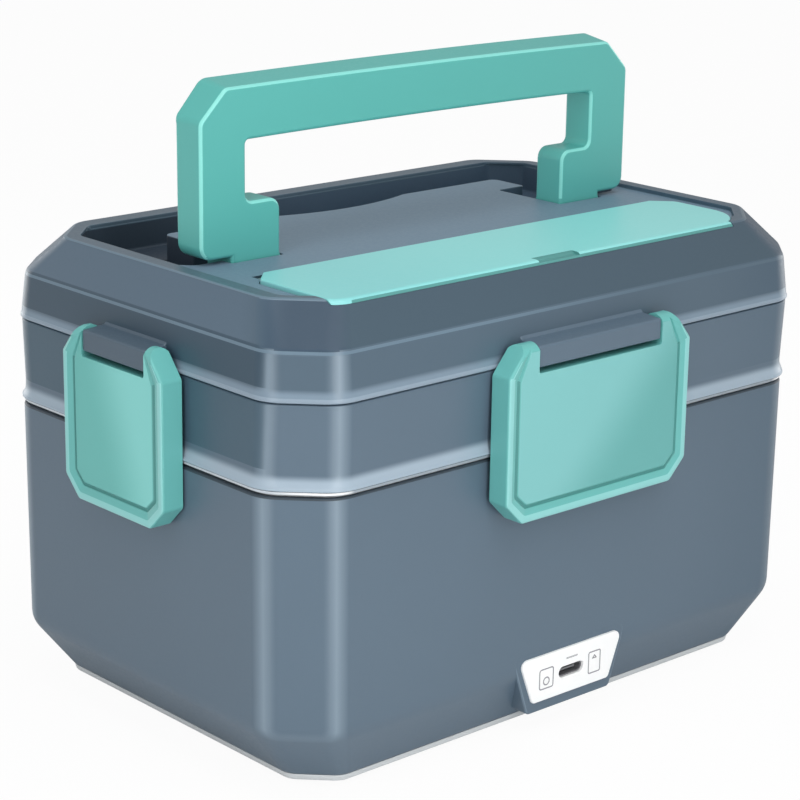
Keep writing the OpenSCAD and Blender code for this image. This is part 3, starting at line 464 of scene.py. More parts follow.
@dataclass(frozen=True)
class Finish:
    """A surface finish, made with procedural nodes; its corner and sweep paint highlights and shade over the
    base colour.
    """

    name: str
    slot: str
    tint: tuple[int, int, int]
    roughness: float = 0.4
    metallic: float = 0.0
    grain: float = 900.0
    relief: float = 0.12
    mottle: float = 0.03
    stretch: tuple[float, float, float] = (1.0, 1.0, 1.0)
    coat: float = 0.0
    sheen: float = 0.0
    # Painted highlight or shade on the cut corners.
    corner: PaintedCornerLight | None = None
    # Painted gradient of light or shade across the piece.
    paintedlightsweep: PaintedLightSweep | None = None

    def material(self) -> bpy.types.Material:
        """Makes the material, once for each name.

        Returns:
            The new material, or the one of this name that is there already.
        """
        made = bpy.data.materials.get(self.name)
        if made:
            return made
        made = bpy.data.materials.new(self.name)
        made.use_nodes = True
        tree = made.node_tree
        place = add_node(tree, "TexCoord")
        scaled = add_node(tree, "Mapping", {"Vector": place.outputs["Object"], "Scale": self.stretch})
        at = scaled.outputs["Vector"]
        broad = add_node(tree, "TexNoise", {"Vector": at, "Scale": BROAD_GRAIN, "Detail": 2.0})
        fine = add_node(tree, "TexNoise", {"Vector": at, "Scale": self.grain, "Detail": 3.0})
        dark, bright = linear(self.tint, 1 - self.mottle), linear(self.tint, 1 + self.mottle)
        tone = add_node(tree, "Mix", {"A": dark, "B": bright, "Factor": broad.outputs["Fac"]},
                        data_type="RGBA")
        if self.corner:
            tone = self._paint_corner_light(tree, place, tone)
        if self.paintedlightsweep:
            tone = self._paint_light_sweep(tree, place, tone)
        rough = add_node(tree, "MapRange", {"Value": fine.outputs["Fac"], "From Min": 0.3, "From Max": 0.7,
                                            "To Min": self.roughness * 0.92, "To Max": self.roughness * 1.08})
        bump = add_node(tree, "Bump", {"Strength": self.relief, "Distance": BUMP_DEPTH,
                                       "Height": fine.outputs["Fac"]})
        feed(tree, tree.nodes["Principled BSDF"], {
            "Base Color": tone.outputs["Result"], "Metallic": self.metallic,
            "Roughness": rough.outputs["Result"], "Coat Weight": self.coat, "Coat Roughness": 0.2,
            "Sheen Weight": self.sheen, "Normal": bump.outputs["Normal"]})
        return made

    def _paint_corner_light(self, tree: bpy.types.NodeTree, place: bpy.types.Node, tone: bpy.types.Node) -> bpy.types.Node:
        """Paints highlights or shade onto the corners.

        Args:
            tree: Node tree of the material.
            place: Node that gives the surface's direction.
            tone: Node that gives the tone elsewhere.

        Returns:
            The node that gives the new tone.
        """
        axes = add_node(tree, "SeparateXYZ", {"Vector": place.outputs["Normal"]})
        both = add_node(tree, "Math", {0: axes.outputs["X"], 1: axes.outputs["Y"]}, operation="MULTIPLY")
        size = add_node(tree, "Math", {0: both.outputs[0]}, operation="ABSOLUTE")
        doubled = add_node(tree, "Math", {0: size.outputs[0], 1: size.outputs[0]}, operation="ADD")
        ramp = add_node(tree, "ValToRGB", {"Fac": doubled.outputs[0]})
        stops = ramp.color_ramp.elements
        stops[0].position, stops[1].position = 0.0, 1.0
        stops[0].color = (0, 0, 0, 1)
        for position, share in self.corner.stops:
            stops.new(position).color = (share, share, share, 1)
        last = self.corner.stops[-1][1]
        stops[-1].color = (last, last, last, 1)
        steep = add_node(tree, "Math", {0: axes.outputs["Z"]}, operation="ABSOLUTE")
        level = add_node(tree, "MapRange", {"Value": steep.outputs[0], "From Min": self.corner.fade[0],
                                            "From Max": self.corner.fade[1], "To Min": 1.0, "To Max": 0.0})
        share = add_node(tree, "Math", {0: ramp.outputs["Color"], 1: level.outputs["Result"]},
                         operation="MULTIPLY")
        return add_node(tree, "Mix", {"A": tone.outputs["Result"], "B": linear(self.corner.tint),
                                      "Factor": share.outputs[0]}, data_type="RGBA")

    def _paint_light_sweep(self, tree: bpy.types.NodeTree, place: bpy.types.Node, tone: bpy.types.Node) -> bpy.types.Node:
        """Paints a soft gradient of light or shade across the piece.

        Args:
            tree: Node tree of the material.
            place: Node that gives the place on the surface.
            tone: Node that gives the tone at the start.

        Returns:
            The node that gives the new tone.
        """
        along = add_node(tree, "VectorMath", {0: place.outputs["Object"], 1: self.paintedlightsweep.axis},
                         operation="DOT_PRODUCT")
        start, end = self.paintedlightsweep.start * MM, self.paintedlightsweep.end * MM
        share = add_node(tree, "MapRange", {"Value": along.outputs["Value"], "From Min": start,
                                            "From Max": end}, interpolation_type="SMOOTHSTEP")
        return add_node(tree, "Mix", {"A": tone.outputs["Result"], "B": linear(self.paintedlightsweep.tint),
                                      "Factor": share.outputs["Result"]}, data_type="RGBA")


# Painted highlights and shade that the cut corners take

# Painted highlight down the two blends of each cut corner.
PAINTED_CORNER_HIGHLIGHT = PaintedCornerLight((124, 142, 156), ((0.15, 0.0), (0.5, 0.55), (0.707, 1.0), (0.88, 0.5), (0.985, 0.0)),
                    (0.12, 0.6))
# Painted shade darkening the cut corners of the shoulder slope.
SHADE = PaintedCornerLight((42, 66, 86), ((0.06, 0.0), (0.25, 0.5), (0.4, 1.0)), (0.9, 0.95))
# Painted glint, near white, on the cut corners of the seal.
GLINT = PaintedCornerLight((252, 254, 255), ((0.03, 0.0), (0.25, 0.6), (0.6, 1.0)), (0.4, 0.9))

# Outer plastics

# Slate casing: painted highlight on the corner blends and painted shade darkening the right end.
SLATE = Finish("slate_moulding", "slate_plastic", (88, 107, 123), roughness=0.38, corner=PAINTED_CORNER_HIGHLIGHT,
               paintedlightsweep=PaintedLightSweep((1, 0, 0), 40, 115, (80, 101, 118)))
# Lid band: painted shade darkening its left end.
SLATE_LID = replace(SLATE, name="slate_lid", paintedlightsweep=PaintedLightSweep((-1, 0, 0), 113.6, 115.0, (67, 91, 107)))
# Right half of the lid band: painted shade darkening its right end.
SLATE_LID_RIGHT = replace(SLATE, name="slate_lid_right", paintedlightsweep=PaintedLightSweep((1, 0, 0), 40, 115, (79, 100, 117)))
# Upper shell: a darker slate with painted shade darkening its left end.
SLATE_UPPER = replace(SLATE, name="slate_upper", tint=(79, 98, 113),
                      paintedlightsweep=PaintedLightSweep((-1, 0, 0.1), 126.7, 128.05, (56, 77, 93)))
# Right half of the upper shell: painted shade darkening its right end.
SLATE_UPPER_RIGHT = replace(SLATE_UPPER, name="slate_upper_right",
                            paintedlightsweep=PaintedLightSweep((1, 0, 0), 50, 105, (69, 90, 107)))
# Shoulder slope: a painted-shade copy of the slate, darker still at the corners and painted lighter towards
# the left end.
SLATE_SLOPE_SHADE = Finish("slate_shoulder_painted_shade", "slate_plastic", (64, 84, 98), roughness=0.45, corner=SHADE,
                     paintedlightsweep=PaintedLightSweep((-1, 1, 0), 42, 66, (81, 101, 118)))
# End lugs: a painted-shade copy of the slate.
SLATE_LUG_SHADE = Finish("slate_end_lugs_painted_shade", "slate_plastic", (74, 92, 107), roughness=0.4)
# Deck: a painted-light copy of the slate, lighter on the flat top.
SLATE_DECK_LIT = Finish("slate_deck_painted_light", "slate_plastic", (110, 134, 153), roughness=0.48)
# Painted highlight lines along the shoulder and the rim, painted darker towards the right.
SLATE_HIGHLIGHT_LINE = Finish("slate_painted_highlight_lines", "slate_plastic", (102, 124, 140), roughness=0.32,
                    paintedlightsweep=PaintedLightSweep((1, 0, 0), -50, 70, (82, 102, 117)))
# Painted highlight on the band's flared lip, brightest at its foot.
SLATE_FLARE_HIGHLIGHT = replace(SLATE, name="slate_flare_painted_highlight", roughness=0.32,
                      paintedlightsweep=PaintedLightSweep((0, 0, -1), -104.9, -102.2, (158, 175, 189)))
# Painted highlight along the ridge.
SLATE_RIDGE_HIGHLIGHT = replace(SLATE_UPPER, name="slate_ridge_painted_highlight", roughness=0.32,
                      paintedlightsweep=PaintedLightSweep((0, 0, -1), -131.0, -128.8, (122, 141, 157)))
# Painted highlight on the lower edge of the upper shell.
SLATE_EDGE_HIGHLIGHT = Finish("slate_edge_painted_highlight", "slate_plastic", (138, 155, 170), roughness=0.3)
# Painted shade in the seam and under the band's lip.
SLATE_GROOVE_SHADE = Finish("slate_groove_painted_shade", "slate_plastic", (58, 70, 80), roughness=0.5)
# Painted shade inside the handle recess, painted lighter towards the right.
SLATE_RECESS_SHADE = Finish("slate_recess_painted_shade", "slate_plastic", (48, 61, 75), roughness=0.55,
                      paintedlightsweep=PaintedLightSweep((1, 0, 0), -70, 10, (68, 87, 106)))
TEAL = Finish("teal_handle", "teal_plastic", (90, 180, 173), roughness=0.42)
# Painted highlight on the handle's front edges.
TEAL_EDGE_HIGHLIGHT = Finish("teal_edge_painted_highlight", "teal_plastic", (138, 222, 213), roughness=0.35)
LATCH_TEAL = Finish("teal_latches", "latch_plastic", (103, 180, 176), roughness=0.36, mottle=0.05)
# Latch panels: a painted reflection, a light diagonal band across each.
LATCH_LONG = replace(LATCH_TEAL, name="teal_long_panels", tint=(99, 171, 168),
                     paintedlightsweep=PaintedLightSweep((-0.73, 0, 0.68), 52, 76, (124, 191, 190)))
LATCH_SHORT = replace(LATCH_TEAL, name="teal_short_panels", tint=(100, 182, 176),
                      paintedlightsweep=PaintedLightSweep((0, -0.94, 0.34), 26, 50, (130, 208, 203)))
# Painted highlight on the crest of the latch frames.
LATCH_EDGE_HIGHLIGHT = Finish("teal_latch_edge_painted_highlight", "latch_plastic", (139, 205, 203), roughness=0.32)
# Painted shade in the grooves round the latch panels.
LATCH_GROOVE_SHADE = Finish("teal_groove_painted_shade", "latch_plastic", (80, 150, 146), roughness=0.5)
# Mint cover: painted shade darkening its left end.
MINT = Finish("mint_cover", "mint_plastic", (145, 222, 220), roughness=0.38,
              paintedlightsweep=PaintedLightSweep((-1, 0, 0), 0, 80, (138, 214, 214)))
# Painted shade in the finger notch.
MINT_NOTCH_SHADE = Finish("mint_notch_painted_shade", "mint_plastic", (84, 150, 147), roughness=0.5)
WHITE = Finish("white_plate", "white_plastic", (254, 255, 255), roughness=0.3, mottle=0.008)
PALE = Finish("pale_moulding", "pale_plastic", (214, 218, 220), roughness=0.45)
PRINT = Finish("grey_marks", "white_plastic", (140, 140, 146), roughness=0.6)

# Inner parts

TRAY = Finish("tray_moulding", "tray_plastic", (226, 231, 232), roughness=0.35, coat=0.1)
# Seal: grey, with a painted glint at the cut corners and a painted highlight towards its left end.
SEAL = Finish("seal_moulding", "seal_silicone", (158, 170, 180), roughness=0.5, sheen=0.1, corner=GLINT,
              paintedlightsweep=PaintedLightSweep((-1, 0, 0), 106, 115, (200, 209, 217)))
STEEL = Finish("brushed_steel", "food_steel", (212, 214, 216), roughness=0.32, metallic=1.0,
               grain=700.0, relief=0.08, stretch=(0.06, 1.0, 1.0))
PLATE_METAL = Finish("cast_plate", "plate_metal", (170, 173, 176), roughness=0.4, metallic=1.0,
                     grain=600.0, relief=0.3)
TUBE_METAL = Finish("heating_tube", "tube_metal", (128, 104, 90), roughness=0.45, metallic=1.0, mottle=0.15)
SCREW_METAL = Finish("plated_screws", "screw_steel", (170, 172, 175), roughness=0.3, metallic=1.0)
SOCKET_METAL = Finish("socket_shell", "socket_metal", (128, 128, 132), roughness=0.4, metallic=0.3)
DARK = Finish("dark_moulding", "black_plastic", (40, 43, 46), roughness=0.5)
CERAMIC = Finish("fuse_body", "fuse_ceramic", (205, 197, 172), roughness=0.6)
BOARD = Finish("board_lacquer", "board_green", (42, 104, 66), roughness=0.32, coat=0.3, grain=300.0)
WIRE = Finish("wire_sleeves", "wire_red", (150, 52, 44), roughness=0.5)
RUBBER = Finish("feet_moulding", "feet_rubber", (52, 56, 59), roughness=0.8, grain=1500.0, relief=0.3)


def place_piece(piece: Piece, body: str, finish: Finish, *replaced: str) -> Piece:
    """Dresses a new piece and fixes it to a body.

    Args:
        piece: The finished object.
        body: The body that carries it.
        finish: Its finish.
        replaced: Nodes that it stands for.

    Returns:
        The piece.
    """
    piece.data.materials.clear()
    piece.data.materials.append(finish.material())
    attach(piece, body)
    if replaced:
        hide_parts(*replaced)
    LOG.info("%s rides on %s", piece.name, body)
    return piece


def tint_faces(piece: Piece, *tints: tuple[Finish, FaceTest]) -> None:
    """Gives some faces of a placed piece other finishes, which paint highlights and shade onto them.

    Args:
        piece: A piece that has its own finish already.
        tints: The finishes, each with a test that says for a face's centre, in millimetres, and
            its normal whether the face takes it. A later one goes over an earlier one.
    """
    data = piece.data
    for finish, test in tints:
        data.materials.append(finish.material())
        for face in data.polygons:
            if test(face.center / MM, face.normal):
                face.material_index = len(data.materials) - 1


def dress_node(node: str, finish: Finish) -> None:
    """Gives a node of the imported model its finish.

    Args:
        node: Name of the node.
        finish: The finish.
    """
    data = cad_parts[node].data
    data.materials.clear()
    data.materials.append(finish.material())
    LOG.info("%s dressed", node)


# Sections and heights that several parts share

SEAM = Section(115.0, 78.2, 16.0, 13.0)
SHELL_TOP = Section(115.8, 78.2, 16.0, 13.0)
WALL = Section(115.3, 78.2, 16.0, 13.0)
FOOT = Section(102.1, 70.0, 12.32, 7.8)
RIDGE = Section(115.1, 78.9, 15.7, 13.0)
SHOULDER = Section(114.0, 77.5, 15.4, 12.0)
RIM = Section(105.6, 67.1, 16.2, 9.0)
TUB = Section(105.6, 68.8, 12.89, 21.89)
WALL_T = 2.4
FOOT_Z = 4.0
SHELL_Z = 97.9
BAND_Z = 99.7
SHOULDER_Z = 141.8
RIM_Z = 154.0
LONG_PIN_Y, SHORT_PIN_X, PIN_Z = 83.6, 119.8, 130.0
BEAD_Z = 92.7
HINGE_Y, HINGE_Z = -27.2, 151.8
LUG_R = 3.4


class Side(Enum):
    """The side that a latch is on: its turn about Z in degrees."""

    FRONT = 0
    BACK = 180
    LEFT = -90
    RIGHT = 90

    @property
    def is_long(self) -> bool:
        """Says whether this is one of the two long sides."""
        return self in (Side.FRONT, Side.BACK)

    @property
    def label(self) -> str:
        """Gives the name that pieces on this side carry."""
        return self.name.lower()

    def turned(self) -> Matrix:
        """Gives the transform that takes a piece built facing the front to this side."""
        return Matrix.Rotation(math.radians(self.value), 4, "Z")

    def pinned(self) -> Matrix:
        """Gives the transform that also takes the piece's origin to the pin of the latch."""
        reach = LONG_PIN_Y if self.is_long else SHORT_PIN_X
        return self.turned() @ Matrix.Translation((0, -reach * MM, PIN_Z * MM))


@dataclass
class Casing:
    """The slate base with its boss, beads and white socket plate."""

    bevel_z: float = 22.0
    front_y: float = -78.2
    plate_z: float = 10.8
    plate_h: float = 15.7
    plate_top: float = 47.0
    plate_foot: float = 35.0
    plate_out: float = 1.0
    port_w: float = 11.4
    port_h: float = 3.8
    port_z: float = 18.3
    slot_gap: float = 0.5
    bead_long: tuple[float, float] = (14.0, 78.18)
    bead_short: tuple[float, float] = (9.0, 114.98)
    boss_out: float = 0.05
    ring_x: float = -11.6
    tick_x: float = 10.6

    def build(self) -> None:
        """Builds and places every piece of the casing."""
        self._shell()
        self._boss()
        self._plate()
        self._beads()
        self._marks()

    def _port(self, grow: float, y0: float, y1: float) -> Piece:
        """Makes the cutter of the port's slot.

        Args:
            grow: How much larger the cutter is than the slot on each side.
            y0: Depth of its front.
            y1: Depth of its back.

        Returns:
            The cutter.
        """
        half_x, half_z = self.port_w / 2 + grow, self.port_h / 2 + grow
        outline = rounded(rectangle(0, self.port_z, half_x, half_z), [half_z * 0.999] * 4, 8)
        return lofted("port_cutter", at_depths((outline, y1), (outline, y0)))

    def _shell(self) -> None:
        """Builds the shell with its bevelled foot and cut corners."""
        z, mid_t = SHELL_Z, WALL_T / 2
        rings = FOOT.rings((FOOT_Z, 0.8), (FOOT_Z + 0.8, 0)) + [WALL.ring(self.bevel_z)]
        rings += SHELL_TOP.rings((z - 0.5, 0), (z, 0.5))
        rings += SEAM.rings((z, mid_t), (z - 1, mid_t), (z - 1, WALL_T))
        rings += [WALL.ring(self.bevel_z + 1, WALL_T), FOOT.ring(FOOT_Z, WALL_T + 0.4)]
        shell = moulded("casing_shell", rings, [0.3, 0.6, 3, 0.4, 0.3, 0, 0, 0, 1, 0], closed=True)
        shaped(shell, [self._port(self.slot_gap, self.front_y - 4, self.front_y + 20)])
        place_piece(smoothed(shell), "base", SLATE, "outer_shell")
        # Painted shade along the seam at the top of the shell.
        tint_faces(shell, (SLATE_GROOVE_SHADE, lambda at, normal: at.z > z - (0.7 if normal.z > 0.1 else 0.3)))

    def _boss(self) -> None:
        """Builds the boss that carries the socket plate over the bevelled foot."""
        foot, top = self.plate_foot / 2 + 1.6, self.plate_top / 2 + 3
        low, high = FOOT_Z + 3, self.plate_z + self.plate_h + 2.5
        outline = rounded([(-foot, low), (foot, low), (top, high), (-top, high)], [2, 2, 3, 3])
        y = self.front_y
        rings = at_depths((outline, y + 8.5), (outline, y), (drawn_in(outline, 1.4), y - self.boss_out))
        boss = moulded("socket_boss", rings, [0, 0.7, 0])
        shaped(boss, [self._port(self.slot_gap, y - 4, y + 20)])
        place_piece(smoothed(boss), "base", SLATE)

    def _plate(self) -> None:
        """Builds the white plate with its slot."""
        foot, top, high = self.plate_foot / 2, self.plate_top / 2, self.plate_z + self.plate_h
        corners = [(-foot, self.plate_z), (foot, self.plate_z), (top, high), (-top, high)]
        outline = rounded(corners, [1.6, 1.6, 2.4, 2.4])
        y, face = self.front_y, self.front_y - self.plate_out
        rings = at_depths((outline, y + 1), (outline, face), (drawn_in(outline, 1.2), face))
        plate = moulded("socket_plate_white", rings, [0, 0.45, 0])
        shaped(plate, [self._port(0.05, y - 3, y + 3), self._port(0.3, face - 2, face + 0.25)])
        place_piece(smoothed(plate), "base", WHITE, "socket_plate")

    def _beads(self) -> None:
        """Builds the four beads under the latches' nibs."""
        section = [(0.0, 0.7), (1.6, 0.0), (1.6, 2.4), (0.0, 1.7)]
        for side in Side:
            half, reach = self.bead_long if side.is_long else self.bead_short
            outline = rounded([(y - reach - 1, z + BEAD_Z) for y, z in section], [0.3, 0, 0, 0.3], 3)
            bead = rod(f"casing_bead_{side.label}", outline, -half, half)
            bead.data.transform(side.turned())
            place_piece(smoothed(bead), "base", SLATE)

    def _marks(self) -> None:
        """Prints plain outline marks beside the port."""
        z, mesh = self.port_z, bmesh.new()
        self._line(mesh, rounded(rectangle(self.ring_x, z, 3.3, 3.6), [1.0] * 4), 0.42)
        self._line(mesh, rounded(rectangle(self.tick_x, z, 2.9, 3.9), [0.8] * 4), 0.42)
        self._line(mesh, arc(self.ring_x, z - 0.9, 1.5, range(0, 360, 15)), 0.42)
        tick = [(self.tick_x - 1.2, z + 1.2), (self.tick_x + 1.2, z + 1.2), (self.tick_x, z + 2.6)]
        self._line(mesh, rounded(tick, [0.1] * 3, 2), 0.36)
        bar = [(-2.6, z + 4.3), (2.6, z + 4.3), (2.6, z + 4.8), (-2.6, z + 4.8)]
        self._line(mesh, rounded(bar, [0.2] * 4, 3), 0.18)
        place_piece(make_object("plate_marks", mesh), "base", PRINT)

    def _line(self, mesh: bmesh.types.BMesh, outline: Outline, width: float) -> None:
        """Adds a thin printed line along an outline on the plate.

        Args:
            mesh: The mesh to add to.
            outline: The closed outline that the line follows.
            width: Width of the line.
        """
        inner, face = drawn_in(outline, width), self.front_y - self.plate_out
        low, high = face + 0.02, face - 0.03
        add_loft(mesh, at_depths((outline, low), (outline, high), (inner, high), (inner, low)), closed=True)


@dataclass
class Underside:
    """The pale bottom cover with its vents, screws and feet."""

    low_z: float = 1.6
    vent_l: float = 26.0
    vent_step: float = 9.0
    vent_half: float = 1.5
    bore_x: float = 86.1
    screw_y: float = 50.0
    screw_r: float = 3.5
    foot_y: float = 34.0
    foot_r: float = 7.02

    def build(self) -> None:
        """Builds the cover and dresses what is on it."""
        z0, z1 = self.low_z, FOOT_Z
        rings = FOOT.rings((z0, 2.4), (z0 + 0.4, 1.2), (z1 - 0.5, 0.7), (z1, 0.7), (z1, WALL_T + 2.8))
        cover = moulded("bottom_cover_plate", rings, [0, 0.5, 0.3, 0, 0])
        tools = []
        bores = ((self.screw_y, self.screw_r, z0 + 1.2), (self.foot_y, self.foot_r, z0 + 0.8))
        for y, radius, depth in bores:
            for sign_x, sign_y in ((-1, -1), (-1, 1), (1, -1), (1, 1)):
                circle = arc(sign_x * self.bore_x, sign_y * y, radius, range(0, 360, 9))
                tools.append(lofted("bore_cutter", at_heights((circle, -1), (circle, depth))))
        for step in range(-4, 5):
            x, half, thin = step * self.vent_step, self.vent_l / 2, self.vent_half
            tools.append(block("vent_cutter", (x - thin, -half, 0), (x + thin, half, 6), thin - 0.05))
        shaped(cover, tools)
        place_piece(smoothed(cover), "base", PALE, "bottom_cover")
        dress_node("bottom_screws", SCREW_METAL)
        dress_node("rubber_feet", RUBBER)


@dataclass
class FoodContainers:
    """The inner liner, the steel container and the tray with its divider."""

    floor_z: float = 26.0
    ledge_z: float = 95.5
    liner_top: float = 98.5
    pot_z: float = 29.5
    tray_up: float = 22.0
    tray_down: float = 12.0
    divider_x: float = -22.0
    divider_l: float = 125.2
    plate_half: tuple[float, float] = (65.2, 31.2)

    def build(self) -> None:
        """Builds the three vessels."""
        self._liner()
        self._container()
        self._tray()

    def _liner(self) -> None:
        """Builds the liner that seats the container, with its opening for the plate."""
        f, top, hidden = self.floor_z, self.liner_top, SHELL_Z - 1
        rings = TUB.rings((f, 1.2), (f + 4, 0), (self.ledge_z - 3, -2))
        rings += SEAM.rings((hidden, 3.0), (hidden, 1.3), (top, 1.3), (top, 6.2), (self.ledge_z, 6.2))
        rings += TUB.rings((self.ledge_z, 0), (f + 8, 3.2), (f + 2, 7.2))
        liner = moulded("liner_tub", rings, [0, 2, 1, 0, 0, 0.4, 0.4, 0.4, 0.8, 4, 0])
        x, y = self.plate_half
        shaped(liner, [block("plate_opening", (-x, -y, f - 2), (x, y, f + 10), 10)])
        place_piece(smoothed(liner), "base", PALE, "inner_liner")

    def _container(self) -> None:
        """Builds the drawn steel container with its flange."""
        z, ledge = self.pot_z, self.ledge_z
        flange = Section(SEAM.half_x - 6.8, SEAM.half_y - 6.8, 14.09, 23.89)
        rings = TUB.rings((z, 8.7), (z + 1.6, 5.6), (z + 6, 3.9), (ledge, 0.7))
        rings += flange.rings((ledge, 0), (ledge + 1, 0))
        rings += TUB.rings((ledge + 1, 1.5), (z + 6, 4.7), (z + 2.4, 6.4), (z + 0.8, 9.5))
        pot = moulded("steel_pot", rings, [0, 2, 2, 0.5, 0.3, 0.3, 0.8, 2, 2, 0])
        place_piece(smoothed(pot), "container", STEEL, "steel_container")

    def _tray(self) -> None:
        """Builds the food tray and its divider."""
        rim = self.ledge_z + 1
        top, foot = rim + self.tray_up - 1, rim - self.tray_down
        rings = TUB.rings((foot, 6.25), (foot + 1.4, 3.85), (rim, 2.25), (rim, -1.2), (top - 1.6, -0.8),
                          (top - 1.6, -2.2), (top, -2.2), (top, 1.6), (rim + 1.6, 3.85), (foot + 3, 5.65),
                          (foot + 1.6, 7.85))
        tray = moulded("food_tray_shell", rings, [0, 1.2, 0.8, 0.5, 0.3, 0.3, 0.5, 0.6, 1.5, 2, 0])
        place_piece(smoothed(tray), "tray", TRAY, "food_tray")
        low, high = foot + 1, top - 5.5
        wall = rounded([(-0.8, low), (0.8, low), (0.8, high), (-0.8, high)], [0, 0, 0.6, 0.6], 4)
        wall = [Vector((self.divider_x + point.x, point.y, 0)) for point in wall]
        half = self.divider_l / 2
        divider = lofted("food_tray_divider", at_depths((wall, half), (wall, -half)))
        place_piece(smoothed(divider), "tray", TRAY)


@dataclass
class Heater:
    """The heating parts and the electrics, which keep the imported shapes."""

    finishes: dict[str, Finish] = field(default_factory=lambda: {
        "heating_plate": PLATE_METAL, "heating_element": TUBE_METAL, "thermostat": DARK,
        "thermal_fuse": CERAMIC, "control_board": BOARD, "power_socket": SOCKET_METAL, "inner_wires": WIRE})

    def build(self) -> None:
        """Dresses the parts."""
        for node, finish in self.finishes.items():
            dress_node(node, finish)


